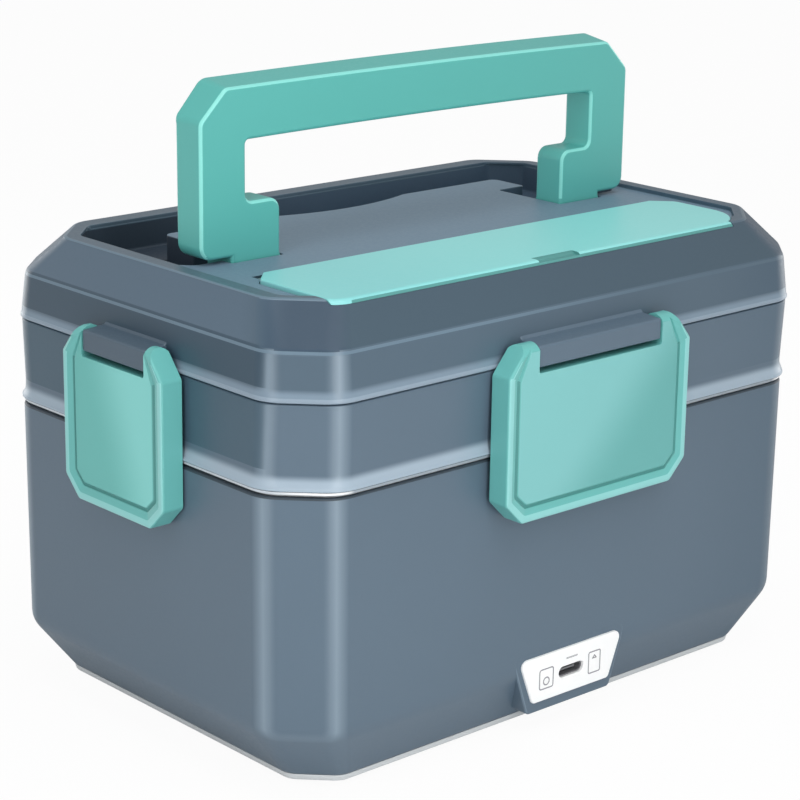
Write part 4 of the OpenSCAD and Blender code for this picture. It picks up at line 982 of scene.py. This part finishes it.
@dataclass
class Lid:
    """The lid: band, upper shell with its recess, seal and inner liner."""

    ridge_z: float = 126.4
    deck_z: float = 152.6
    recess_z: float = 143.35
    seat_z: float = 150.75
    seat_gap: float = 0.35
    lip_out: float = 1.3
    rim_in_x: float = 100.1
    rim_in_y: float = 59.7
    rim_front_y: float = 61.6
    plateau_x: float = 61.9
    plateau_wide: float = 74.6
    step_y: float = 23.8
    plateau_y: float = 39.4
    scoop_half: float = 30.0
    scoop_depth: float = 5.5
    slot_side: float = 82.6
    slot_y: float = -6.9
    seal_z: float = 98.55
    seal_w: float = 6.1
    ceiling_z: float = 123.9
    liner_side: float = 4.5
    liner_t: float = 1.6
    lug_long: float = 27.2
    lug_short: float = 15.9
    left_x: float = -50.0

    def build(self) -> None:
        """Builds the lid's fixed parts."""
        self._band()
        self._seal()
        self._upper()
        self._lugs()
        self._liner()
        for node in ("lid_screws", "latch_pins", "handle_pins", "cover_pins"):
            dress_node(node, SCREW_METAL)

    def _band(self) -> None:
        """Builds the lower band with its flared lip."""
        z, top, out = BAND_Z, self.ridge_z - 0.2, self.lip_out
        rings = SEAM.rings((z, 0.3 - out), (z + 0.35, -out), (z + 0.8, -out), (z + 1.2, -out * 0.62),
                           (z + 2.0, -out * 0.3), (z + 3.2, -out * 0.1), (z + 5, 0))
        rings += RIDGE.rings((top - 0.3, 0), (top, 0.4), (top, 1), (top + 0.2, 1), (top + 0.2, WALL_T))
        rings += [SEAM.ring(z, WALL_T)]
        radii = [0.2, 0.2, 0.2, 0.3, 0.5, 0.8, 1.2, 0.3, 0.3, 0, 0, 0, 0]
        band = moulded("lid_band", rings, radii, closed=True)
        place_piece(smoothed(band, 40), "lid", SLATE_LID, "lid_ring")
        # Painted shade on the right half, a painted highlight on the flared lip and painted shade in the
        # seam.
        tint_faces(band,
                   (SLATE_LID_RIGHT, lambda at, normal: at.x > self.left_x),
                   (SLATE_FLARE_HIGHLIGHT, lambda at, normal: z + 0.3 < at.z < z + 8),
                   (SLATE_GROOVE_SHADE, lambda at, normal: at.z < z + 0.3 or normal.z < -0.6))

    def _seal(self) -> None:
        """Builds the pale seal that shows as a line over the seam."""
        low, high, inner = self.seal_z, BAND_Z, self.seal_w
        rings = SEAM.rings((low, 0.1), (low + 0.3, -0.6), (high, -0.7), (high, inner), (low, inner))
        seal = moulded("seal_line", rings, [0.2, 0.2, 0, 0, 0], closed=True)
        place_piece(smoothed(seal), "lid", SEAL, "seal_ring")

    def _deck(self) -> Outline:
        """Lays out the deck inside the rim.

        Returns:
            Its outline.
        """
        x, back, front, c = self.rim_in_x, self.rim_in_y, -self.rim_front_y, 10.0
        half = [(x - c, front), (x, front + c), (x, back - c), (x - c, back)]
        return rounded(half + mirrored(half), [4.0] * 8)

    def _recess(self) -> tuple[Outline, list[float]]:
        """Gives the recess of the folded handle.

        Returns:
            Its outline, and for each point how far its top edge is let out.
        """
        x, y, front, side = self.rim_in_x - 0.15, self.rim_in_y - 0.15, self.slot_y, self.slot_side
        outer = [(side, front), (side, -2), (x - 7, -2), (x, 5), (x, y - 9), (x - 9, y)]
        outer_radii = [0.5, 0.5, 4, 4, 3, 3]
        turns = [math.pi * step / 16 for step in range(17)]
        scoop = [(-self.scoop_half * math.cos(turn),
                  self.plateau_y - self.scoop_depth * (1 - math.cos(2 * turn)) / 2) for turn in turns]
        inner = [(self.plateau_wide, self.plateau_y), (self.plateau_wide, self.step_y),
                 (self.plateau_x, self.step_y), (self.plateau_x, front)]
        inner_radii = [3.0, 1.2, 1.2, 0.5]
        corners = outer + mirrored(outer) + mirrored(inner) + scoop + inner
        radii = outer_radii + outer_radii[::-1] + inner_radii[::-1] + [0.0] * len(scoop) + inner_radii
        outline = rounded(corners, radii, 5)
        wide, deep = self.plateau_wide + 0.5, self.plateau_y + 0.5
        inside = [abs(point.x) < wide and point.y < deep or point.y < 4.5 for point in outline]
        return outline, [-0.45 if flag else 0.0 for flag in inside]

    def _cutters(self) -> list[Piece]:
        """Makes the cavity, the deck, the recess and the cutlery seat as tools.

        Returns:
            The tools in the order of the cuts.
        """
        floor, top, seat_z = self.recess_z, self.deck_z, self.seat_z
        cavity = lofted("cavity_cutter", [RIDGE.ring(self.ridge_z - 2, WALL_T + 0.05),
                                          SHOULDER.ring(SHOULDER_Z - 3, WALL_T + 1)])
        outline = self._deck()
        wide = drawn_in(outline, -0.5)
        rings = at_heights((drawn_in(outline, 0.6), top), (outline, top), (outline, RIM_Z), (wide, RIM_Z),
                           (wide, RIM_Z + 2))
        deck = moulded("deck_cutter", rings, [0, 0.4, 0.45, 0, 0])
        outline, let_out = self._recess()
        wide = drawn_in(outline, let_out)
        rings = at_heights((drawn_in(outline, 1.4), floor), (outline, floor), (outline, top),
                           (wide, top + 0.001), (wide, top + 0.6))
        recess = moulded("recess_cutter", rings, [0, 1.0, 0.45, 0, 0])
        outline = Cutlery().plan(-self.seat_gap)
        seat = lofted("seat_cutter", at_heights((outline, seat_z), (outline, RIM_Z + 4)))
        lip_y = Cutlery.lip_y - self.seat_gap
        shaped(seat, [block("lip_keeper", (-130, -130, seat_z - 1), (130, lip_y, top - 0.1))])
        return [cavity, deck, recess, seat,
                block("well_opening", (-83, -61.9, seat_z - 4), (83, -29.6, seat_z + 3), 4),
                block("well_pocket", (-87.2, -64.9, self.ridge_z - 1), (87.2, -26.8, 148.36), 5),
                rod("hinge_groove", arc(HINGE_Y, HINGE_Z, 2.7, range(0, 360, 12)), -89, 89)]

    def _upper(self) -> None:
        """Builds the upper shell and paints highlights and shade onto its faces."""
        z, top, shoulder = self.ridge_z, self.deck_z, SHOULDER_Z
        rings = RIDGE.rings((z, WALL_T), (z, 0.1), (z + 0.4, -0.5), (z + 1.0, -0.5), (z + 1.6, -0.15),
                            (z + 3.0, 0))
        rings += SHOULDER.rings((shoulder, 0)) + RIM.rings((RIM_Z, 0), (RIM_Z, 4))
        upper = moulded("lid_upper_shell", rings, [0, 0.3, 0.3, 0.3, 0.5, 1.2, 1.6, 0.9, 0], steps=6)
        shaped(upper, self._cutters())
        place_piece(smoothed(upper), "lid", SLATE_UPPER, "lid_top")
        # Painted shade on the right half, the slope and the recess; painted highlights on the ridge, the
        # edges and the lines; painted light on the deck.
        tint_faces(upper,
                   (SLATE_UPPER_RIGHT, lambda at, normal: at.x > self.left_x),
                   (SLATE_RIDGE_HIGHLIGHT, lambda at, normal: z + 1.5 < at.z < z + 8 and abs(normal.z) < 0.3),
                   (SLATE_EDGE_HIGHLIGHT, lambda at, normal: at.z < z + 1.7 and normal.z > -0.6),
                   (SLATE_SLOPE_SHADE, lambda at, normal: -0.3 < at.z - shoulder < 11.6 and 0.5 < normal.z < 0.85),
                   (SLATE_HIGHLIGHT_LINE, lambda at, normal: -1.1 < at.z - shoulder < -0.1 and 0.1 < normal.z < 0.6),
                   (SLATE_HIGHLIGHT_LINE, lambda at, normal: at.z > RIM_Z - 1 and 0.7 < normal.z < 0.995),
                   (SLATE_DECK_LIT, lambda at, normal: top - 0.1 < at.z < top + 0.1 and normal.z > 0.9),
                   (SLATE_RECESS_SHADE, self._in_shaded_recess))

    def _in_shaded_recess(self, at: Vector, normal: Vector) -> bool:
        """Says whether a face belongs to the walls or the floor of the recess, which take painted shade."""
        low = self.recess_z - 0.1 < at.z < self.deck_z - 0.3 and normal.z > -0.5
        return low and abs(at.x) < self.rim_in_x + 0.3 and self.slot_y - 0.3 < at.y < self.rim_in_y + 0.3

    def _lugs(self) -> None:
        """Builds the lugs that the latches hang on."""
        r = LUG_R
        section = rounded([(-r, -r), (5.9, -r), (5.9, 5.4), (4.4, 3.9), (-r, r)], [0.7, 0, 0, 1.0, 0.8], 5)
        inner = drawn_in(section, 0.3)
        for side in Side:
            half = self.lug_long if side.is_long else self.lug_short
            rings = across((inner, -half), (section, -half + 0.3), (section, half - 0.3), (inner, half))
            lug = lofted(f"latch_lug_{side.label}", rings)
            lug.data.transform(side.pinned())
            # The end lugs take a painted-shade copy of the slate.
            place_piece(smoothed(lug), "lid", SLATE if side.is_long else SLATE_LUG_SHADE)

    def _liner(self) -> None:
        """Builds the pale liner under the lid."""
        z, top, side, t = BAND_Z, self.ceiling_z, self.liner_side, self.liner_t
        rings = SEAM.rings((top, side + 3.6), (top - 2, side + t + 0.6), (z, side + t), (z, 2.5),
                           (z + 1.5, 2.5), (z + 1.5, side), (top + t - 2, side + 0.6), (top + t, side + 2.6))
        liner = moulded("lid_underside", rings, [0, 2, 0.5, 0, 0, 0, 1.5, 0])
        place_piece(smoothed(liner), "lid", PALE, "lid_liner")


@dataclass
class CarryHandle:
    """The fold-down handle with stepped feet."""

    leg_x: float = 94.0
    leg_in: float = 76.2
    foot_in: float = 62.6
    foot_side: float = 82.0
    pivot_z: float = 150.2
    low_z: float = 154.2
    foot_top: float = 171.0
    bar_z: float = 190.3
    top_z: float = 207.2
    cut: float = 10.0
    half_t: float = 6.25
    edge: float = 1.3
    slant: float = 1.6
    arch: float = 0.6

    def _rail(self, half: Outline) -> Outline:
        """Completes a rail and lets it rise towards the middle of the grip.

        Args:
            half: The rail from its right foot to the middle.

        Returns:
            The rail from foot to foot.
        """
        last, right = half[-2], half[:-1]
        for left in (1 - step / 8 for step in range(1, 8)):
            right.append(Vector((last.x * left, last.y + self.arch * (1 - left ** 2), 0)))
        return right + [Vector((x, y, 0)) for x, y in mirrored(right)]

    def _layers(self, outer: Outline, inner: Outline) -> list[Ring]:
        """Gives the layers through the handle's thickness, with its edges rounded.

        Args:
            outer: The outer rail from foot to foot.
            inner: The inner rail from foot to foot.

        Returns:
            The layers from the back to the front.
        """
        loop, count, rings = outer + inner[::-1], len(outer), []
        low = self.top_z - self.cut - 2
        let_out = drawn_in(loop, -self.slant)
        rise = [(far - near) * min(max((near.y - low) / 5, 0), 1) if index < count else Vector()
                for index, (near, far) in enumerate(zip(loop, let_out))]
        turns = [math.radians(90 * step / 5) for step in range(6)]
        for side, angle in [(1, turn) for turn in turns] + [(-1, turn) for turn in reversed(turns)]:
            outline = drawn_in(loop, self.edge * (1 - math.sin(angle)))
            depth = side * (self.half_t - self.edge * (1 - math.cos(angle)))
            share = min(max((depth / (self.half_t - self.edge) + 1) / 2, 0), 1)
            outline = [point + lift * share for point, lift in zip(outline, rise)]
            for index in (0, count - 1, count, -1):
                outline[index].y = self.pivot_z
            rings += at_depths((outline, depth))
        return rings

    def build(self) -> None:
        """Builds the handle in one sweep from foot to foot."""
        side, inside, low, top, pivot = self.foot_side, self.foot_in, self.low_z, self.top_z, self.pivot_z
        outer = rounded([(side, pivot), (side, low), (self.leg_x, low), (self.leg_x, top - self.cut),
                         (self.leg_x - self.cut, top), (0, top)], [0, 0, 4.5, 3.5, 3.5, 0], 7)
        inner = rounded([(inside, pivot), (inside, low), (inside, self.foot_top),
                         (self.leg_in, self.foot_top), (self.leg_in, self.bar_z), (0, self.bar_z)],
                        [0, 0, 4.0, 2.5, 1.5, 0], 7)
        handle = lofted("carry_handle", self._layers(self._rail(outer), self._rail(inner)))
        circle = arc(0, pivot, self.half_t - 0.01, range(5, 365, 10))
        spans = ((-side, -inside), (inside, side))
        shaped(handle, [rod("handle_end", circle, x0 + 0.02, x1 - 0.02) for x0, x1 in spans], Cut.JOIN)
        place_piece(smoothed(handle), "handle", TEAL, "handle")
        # Painted highlight on the front edges.
        tint_faces(handle, (TEAL_EDGE_HIGHLIGHT, self._on_highlighted_edge))

    def _on_highlighted_edge(self, at: Vector, normal: Vector) -> bool:
        """Says whether a face belongs to the front edges that take a painted highlight."""
        return normal.y < -0.3 and (normal.x < -0.3 or normal.z > 0.3) and at.z > self.low_z


@dataclass
class Cutlery:
    """The cutlery compartment: its cover, its tub and the spoon."""

    half_x: float = 92.5
    back_y: float = -25.0
    cut: float = 8.0
    corner: float = 17.0
    rim_y: float = -67.1
    lip_y: float = -63.5
    lip_t: float = 1.4
    low_z: float = 150.8
    notch_x: float = 9.0
    edge_r: float = 2.2
    mid_y: float = -45.75
    tub_half: float = 15.85
    tub_top: float = 148.35
    well_floor: float = 131.35
    saddle_h: float = 5.0
    saddles: tuple[float, float] = (-24.0, 44.0)
    spoon_x: float = 75.0
    bowl_l: float = 37.7
    bowl_w: float = 26.0
    bowl_deep: float = 5.6

    def build(self) -> None:
        """Builds the cover, the tub and the spoon."""
        self._cover()
        self._tub()
        self._spoon()

    def plan(self, inset: float) -> Outline:
        """Gives the cover's outline, with its front left long.

        Args:
            inset: How far the outline is drawn in.

        Returns:
            The outline.
        """
        x, c, r, front = self.half_x, self.cut, self.corner, -120
        mid_x, mid_y = x - r, self.rim_y + r
        edge = mid_x + 0.375 * r
        back = [(x, self.back_y - c), (x - c, self.back_y)]
        corners = [(edge, front), (edge, mid_y - 0.92 * r)]
        corners += [(point.x, point.y) for point in arc(mid_x, mid_y, r, range(-65, 1, 5))]
        corners += back + mirrored(back) + [(-x, front)]
        return drawn_in(rounded(corners, [0] * 16 + [3] * 4 + [0]), inset)

    def _cover(self) -> None:
        """Builds the flush cover with its finger notch and rounded hinge edge."""
        z0, z1, x, plan = self.low_z, RIM_Z, self.notch_x, self.plan(0.0)
        rings = at_heights((self.plan(0.3), z0), (plan, z0 + 0.3), (plan, z1), (self.plan(1.2), z1))
        cover = moulded("cutlery_cover_mint", rings, [0, 0, 0.55, 0])
        face = SHOULDER.rings((SHOULDER_Z, 0)) + RIM.rings((z1, 0), (z1, 4))
        front = moulded("cover_front", face, [0, 0.9, 0])
        keep = [Vector((-100, 140, 0)), Vector((HINGE_Y, 140, 0))]
        keep += arc(HINGE_Y, HINGE_Z, self.edge_r, range(-84, 91, 6))
        keep += [Vector((HINGE_Y, 160, 0)), Vector((-100, 160, 0))]
        shaped(cover, [rod("hinge_profile", keep, -120, 120), front], Cut.KEEP)
        low, high = z1 - 0.8, z1 + 3
        notch = rounded([(-74, low), (-65.5, low), (-63.1, z1 + 0.4), (-63.1, high), (-74, high)],
                        [0, 0.8, 0, 0, 0])
        under_lip = block("lip_cutter", (-130, -130, z0 - 1), (130, self.lip_y, z1 - self.lip_t))
        shaped(cover, [rod("notch_cutter", notch, -x, x), under_lip])
        place_piece(smoothed(cover), "cover", MINT, "cutlery_cover")
        # Painted shade in the finger notch.
        tint_faces(cover, (MINT_NOTCH_SHADE, lambda at, normal: abs(at.x) < x + 0.1 and at.y < -62.5
                           and low - 0.1 < at.z < z1 - 0.02))

    def _tub(self) -> None:
        """Builds the tub with its flange and the two saddles for the spoon."""
        mid, half, floor, top = self.mid_y, self.tub_half, self.well_floor, self.tub_top
        sizes = ((82.9, half + 0.2, 4, floor - 1.4), (84.1, half + 1.4, 5, floor - 1.4),
                 (84.1, half + 1.4, 5, top - 1.6), (86.5, 18.65, 6, top - 1.6), (86.5, 18.65, 6, top),
                 (82.7, half, 3.6, top), (82.7, half, 3.6, floor), (80.7, half - 2, 2, floor))
        layers = [(rounded(rectangle(0, mid, x, y), [radius] * 4, 8), z) for x, y, radius, z in sizes]
        tub = moulded("cutlery_tub", at_heights(*layers), [0, 1, 0.5, 0, 0.3, 0.5, 1.6, 0])
        place_piece(smoothed(tub), "lid", PALE, "cutlery_well")
        z, slot = floor - 0.3, floor + self.saddle_h
        high = slot + 2.5
        corners = [(mid - half, z), (mid + half, z), (mid + half, high), (mid + 3.2, high), (mid + 3.2, slot),
                   (mid - 3.2, slot), (mid - 3.2, high), (mid - half, high)]
        outline = rounded(corners, [0, 0, 1.5, 0.8, 0.8, 0.8, 0.8, 1.5], 4)
        for index, x in enumerate(self.saddles):
            place_piece(smoothed(rod(f"cutlery_saddle_{index}", outline, x - 2, x + 2)), "lid", PALE)

    def _spoon(self) -> None:
        """Builds the spoon: a dished bowl that runs into a flat stem."""
        end, neck = self.spoon_x, -37.0
        stations = [-end + self.bowl_l * (1 - math.cos(math.pi * step / 24)) / 2 for step in range(25)]
        stations += [neck + (end - neck) * step / 20 for step in range(1, 21)]
        spoon = lofted("spoon_steel", [self._spoon_ring(x) for x in stations])
        place_piece(smoothed(spoon, 50), "lid", STEEL, "spoon")

    def _spoon_ring(self, x: float) -> Ring:
        """Gives the spoon's section at one place.

        Args:
            x: The place along the spoon.

        Returns:
            The upper side, then the lower side back.
        """
        end, rim_z = self.spoon_x, self.well_floor + self.saddle_h + 1.3
        bowl = max(1 - ((x + end - self.bowl_l / 2) / (self.bowl_l / 2)) ** 2, 0) ** 0.5
        tail = min(max((x + 38.5) / 6, 0), 1)
        stem = 2.2 + 0.9 * max((x - 20) / 55, 0)
        stem *= (max(1 - ((x - end + 3) / 3.05) ** 2, 0.02) ** 0.5) if x > end - 3 else 1
        width = max(bowl * self.bowl_w / 2, stem * min(max((x + 46) / 8, 0), 1), 0.15)
        depth = self.bowl_deep * bowl ** 1.3 * (1 - 0.15 * tail)
        ring = []
        for sign, thick in ((-1, 0.0), (1, 0.9 + 0.3 * tail)):
            for share in (sign * (step / 8 - 1) for step in range(17)):
                dish = -depth * (1 - share ** 2) ** 0.8
                ring.append(Vector((x, self.mid_y + width * share, rim_z + dish - thick)))
        return ring


@dataclass
class Latch:
    """One clamping latch, built facing the front with its pin at the origin."""

    side: Side
    width: float
    ear_w: float
    nib_y: float
    frame_side: float
    frame_foot: float
    drop: float = 52.0
    ear_r: float = 4.4
    back_y: float = 3.3
    cut: float = 7.0
    ear_cut: float = 7.5
    plate_t: float = 2.8

    def build(self) -> None:
        """Builds the latch and places it on its side of the lid."""
        label, place = self.side.label, self.side.pinned()
        clasp = self._plate(f"latch_{label}_clasp")
        clasp.data.transform(place)
        place_piece(smoothed(clasp), f"{label}_clasp", LATCH_TEAL, f"latch_{label}")
        panel = LATCH_LONG if self.side.is_long else LATCH_SHORT
        # Painted reflection on the panel, painted highlight on the frame's crest and painted shade in the
        # groove.
        tests = ((panel, self._on_panel), (LATCH_EDGE_HIGHLIGHT, self._on_highlighted_crest), (LATCH_GROOVE_SHADE, self._in_shaded_groove))
        tint_faces(clasp, *((finish, self._seen(test)) for finish, test in tests))

    def _seen(self, test: FaceTest) -> FaceTest:
        """Lets a test see the placed face as it was with the pin at the origin."""
        back = self.side.pinned().inverted()
        return lambda at, normal: test(back @ (at * MM) / MM, back.to_3x3() @ normal)

    def _on_panel(self, at: Vector, normal: Vector) -> bool:
        """Says whether a face belongs to the panel, which takes a painted reflection."""
        return abs(at.y + self.ear_r - 0.6) < 0.1 and normal.y < -0.9

    def _on_highlighted_crest(self, at: Vector, normal: Vector) -> bool:
        """Says whether a face belongs to the crest of the frame, which takes a painted highlight."""
        return at.y < -self.ear_r + 0.4 and normal.y < -0.6 and at.z < -self.ear_r

    def _in_shaded_groove(self, at: Vector, _: Vector) -> bool:
        """Says whether a face lies in the groove round the panel, which takes painted shade."""
        return -self.ear_r + 0.95 < at.y < -self.ear_r + 1.37 and at.z < -self.ear_r - 0.5

    def _outline(self, inset_x: float = 0.0, inset_foot: float = 0.0, radius: float = 2.0) -> Outline:
        """Gives the latch's outline, drawn in at its sides and at its foot.

        Args:
            inset_x: How far the sides and the ears are drawn in.
            inset_foot: How far the foot is drawn in.
            radius: Radius of the corners.

        Returns:
            The outline of width and height.
        """
        x, low, cut, lean = self.width / 2, -self.drop, self.cut, HALF_TURN_TAN
        side, foot = inset_x, inset_foot
        half = [(x - cut - side * lean, low + foot), (x - side, low + cut + foot * lean),
                (x - side, -self.ear_r - 0.2 - side * lean * 0.9),
                (x - self.ear_cut - side * lean * 1.1, self.ear_r - side * 0.15)]
        return rounded(half + mirrored(half), [radius] * 3 + [1.2] * 2 + [radius] * 3, 5)

    def _plate(self, name: str) -> Piece:
        """Builds the framed plate with its ears, its hollow back and the nib.

        Args:
            name: Name of the piece.

        Returns:
            The piece, with the pin at the origin.
        """
        face, f, g, r = -self.ear_r, self.frame_side, self.frame_foot, self.ear_r
        stack = [(self.back_y, 0, 0), (face, 0, 0), (face, 1.7, 2.0), (face + 0.8, f - 0.3, g - 0.3),
                 (face + 1.35, f, g), (face + 1.35, f + 0.4, g + 0.4), (face + 0.6, f + 1.2, g + 1.2),
                 (face + 0.6, f + 2.2, g + 2.2)]
        rings = at_depths(*((self._outline(a, b, max(2.0 - a * 0.1, 1.2)), y) for y, a, b in stack))
        plate = moulded(name, rings, [0, 1.0, 0.6, 0.3, 0.1, 0.15, 0.35, 0])
        profile = [Vector((self.back_y, -self.drop - 2, 0)), Vector((self.back_y, -r * 0.72, 0))]
        profile += arc(0, 0, r, range(-40, 181, 6)) + [Vector((-r - 0.001, -self.drop - 2, 0))]
        shaped(plate, [rod("ear_profile", profile, -self.width, self.width)], Cut.KEEP)
        notch, top = self.width / 2 - self.ear_w, -LUG_R * math.sqrt(2) - 0.2
        opening = rounded([(-notch, top), (notch, top), (notch, 30), (-notch, 30)], [0.8, 0.8, 0, 0])
        wide = drawn_in(opening, -0.4)
        rings = at_depths((opening, 20), (opening, face + 0.35), (wide, face), (wide, face - 3))
        shaped(plate, [lofted("notch_cutter", rings), self._hollow(top - 3)])
        return shaped(plate, [self._nib(notch * 0.5)], Cut.JOIN)

    def _hollow(self, top: float) -> Piece:
        """Makes the cutter of the hollow behind the plate.

        Args:
            top: Height up to which it goes.

        Returns:
            The cutter.
        """
        x, low, side, cut = self.width / 2, -self.drop, 2.2, self.cut
        half = [(x - cut - 1, low + side), (x - side, low + cut + 1), (x - side, top)]
        corners = mirrored(half[:1]) + half + mirrored(half[1:])
        outline, floor = rounded(corners, [1.0] * 6), self.plate_t - self.ear_r
        rings = at_depths((outline, 20), (outline, floor), (drawn_in(outline, 2), floor))
        return moulded("hollow_cutter", rings, [0, 0.8, 0])

    def _nib(self, half: float) -> Piece:
        """Makes the nib under the bead of the casing.

        Args:
            half: Half of its length.

        Returns:
            The nib.
        """
        z, root, tip = BEAD_Z - 1.5 - PIN_Z, self.plate_t - self.ear_r - 0.6, self.nib_y
        outline = rounded([(root, z - 5), (tip - 0.6, z - 2.2), (tip, z - 1.4), (tip, z), (root, z)],
                          [0, 0.3, 0.3, 0.2, 0], 3)
        return rod("nib", outline, -half, half)


@dataclass(frozen=True)
class SoftBox:
    """A soft box, with its place in degrees and metres, its size in metres and its power."""

    name: str
    azimuth: float
    height: float
    distance: float
    size: tuple[float, float]
    power: float

    def hang(self) -> None:
        """Hangs the box so that it faces the object."""
        data = bpy.data.lights.new(self.name, "AREA")
        data.shape, data.energy = "RECTANGLE", self.power
        data.size, data.size_y = self.size
        light = bpy.data.objects.new(self.name, data)
        light.visible_camera = False
        turn = math.radians(self.azimuth)
        place = Vector((self.distance * math.cos(turn), self.distance * math.sin(turn), self.height))
        light.location = place
        light.rotation_euler = (place - Vector((0, 0, 0.1))).to_track_quat("Z", "Y").to_euler()
        bpy.context.scene.collection.objects.link(light)


@dataclass
class Studio:
    """The floor, the lights, the world and the camera."""

    eye: tuple[float, float, float] = (-538.38, -589.80, 326.85)
    yaw: float = -42.10
    pitch: float = 16.42
    roll: float = 0.85
    lens: float = 110.16
    boxes: tuple[SoftBox, ...] = (
        SoftBox("left_box", 198, 0.24, 0.42, (0.1, 0.5), 0.36),
        SoftBox("front_box", 250, 0.24, 0.42, (0.1, 0.5), 0.7),
        SoftBox("back_box", 100, 0.12, 0.7, (0.4, 0.4), 1.2),
        SoftBox("right_box", -8, 0.12, 0.7, (0.4, 0.4), 1.0),
        SoftBox("top_box", 250, 1.7, 0.5, (1.2, 1.2), 9.0))

    def build(self) -> None:
        """Sets up everything around the object."""
        self._camera()
        self._floor()
        self._world()
        for box in self.boxes:
            box.hang()
        bpy.context.scene.view_settings.view_transform = "Standard"

    def _camera(self) -> None:
        """Places the camera at the photograph's viewing angle."""
        yaw, pitch, roll = (math.radians(angle) for angle in (self.yaw, self.pitch, self.roll))
        back = Vector((math.sin(yaw) * math.cos(pitch), -math.cos(yaw) * math.cos(pitch), math.sin(pitch)))
        right = (-back).cross(Vector((0, 0, 1))).normalized()
        up = right.cross(-back)
        right, up = right * math.cos(roll) + up * math.sin(roll), up * math.cos(roll) - right * math.sin(roll)
        data = bpy.data.cameras.new("camera")
        data.lens, data.sensor_width, data.clip_start = self.lens, 36.0, 0.01
        camera = bpy.data.objects.new("camera", data)
        turn = Matrix((right, up, back)).transposed().to_4x4()
        camera.matrix_world = Matrix.Translation(Vector(self.eye) * MM) @ turn
        bpy.context.scene.collection.objects.link(camera)
        bpy.context.scene.camera = camera

    def _floor(self) -> None:
        """Lays the pale floor."""
        mesh = bmesh.new()
        bmesh.ops.create_grid(mesh, x_segments=1, y_segments=1, size=6.0)
        floor = make_object("floor", mesh)
        made = bpy.data.materials.new("floor_white")
        made.use_nodes = True
        tree = made.node_tree
        shader = tree.nodes["Principled BSDF"]
        feed(tree, shader, {"Base Color": (0.86, 0.86, 0.86, 1), "Roughness": 0.9})
        glow = add_node(tree, "Emission", {"Strength": 1.0})
        path = add_node(tree, "LightPath")
        seen = add_node(tree, "Math", {0: path.outputs["Is Camera Ray"], 1: 0.95}, operation="MULTIPLY")
        both = add_node(tree, "MixShader", {"Fac": seen.outputs[0], 1: shader.outputs["BSDF"],
                                            2: glow.outputs["Emission"]})
        feed(tree, tree.nodes["Material Output"], {"Surface": both.outputs["Shader"]})
        floor.data.materials.append(made)

    def _world(self) -> None:
        """Gives soft even light, and white to the camera."""
        world = bpy.data.worlds.new("studio")
        bpy.context.scene.world = world
        world.use_nodes = True
        tree = world.node_tree
        soft = tree.nodes["Background"]
        feed(tree, soft, {"Color": (1, 1, 1, 1), "Strength": 0.5})
        white = add_node(tree, "Background", {"Color": (1, 1, 1, 1), "Strength": 1.0})
        path = add_node(tree, "LightPath")
        both = add_node(tree, "MixShader", {"Fac": path.outputs["Is Camera Ray"],
                                            1: soft.outputs["Background"], 2: white.outputs["Background"]})
        feed(tree, tree.nodes["World Output"], {"Surface": both.outputs["Shader"]})


def main() -> None:
    """Builds the lunch box and the studio round it."""
    logging.basicConfig(level=logging.INFO, format="%(name)s: %(message)s")
    for part in (Casing(), Underside(), FoodContainers(), Heater(), Lid(), CarryHandle(), Cutlery()):
        part.build()
    for side in (Side.FRONT, Side.BACK):
        Latch(side, width=81.0, ear_w=13.0, nib_y=4.2, frame_side=4.2, frame_foot=4.7).build()
    for side in (Side.LEFT, Side.RIGHT):
        Latch(side, width=51.4, ear_w=9.5, nib_y=3.6, frame_side=4.6, frame_foot=5.0).build()
    Studio().build()


if __name__ == "__main__":
    main()
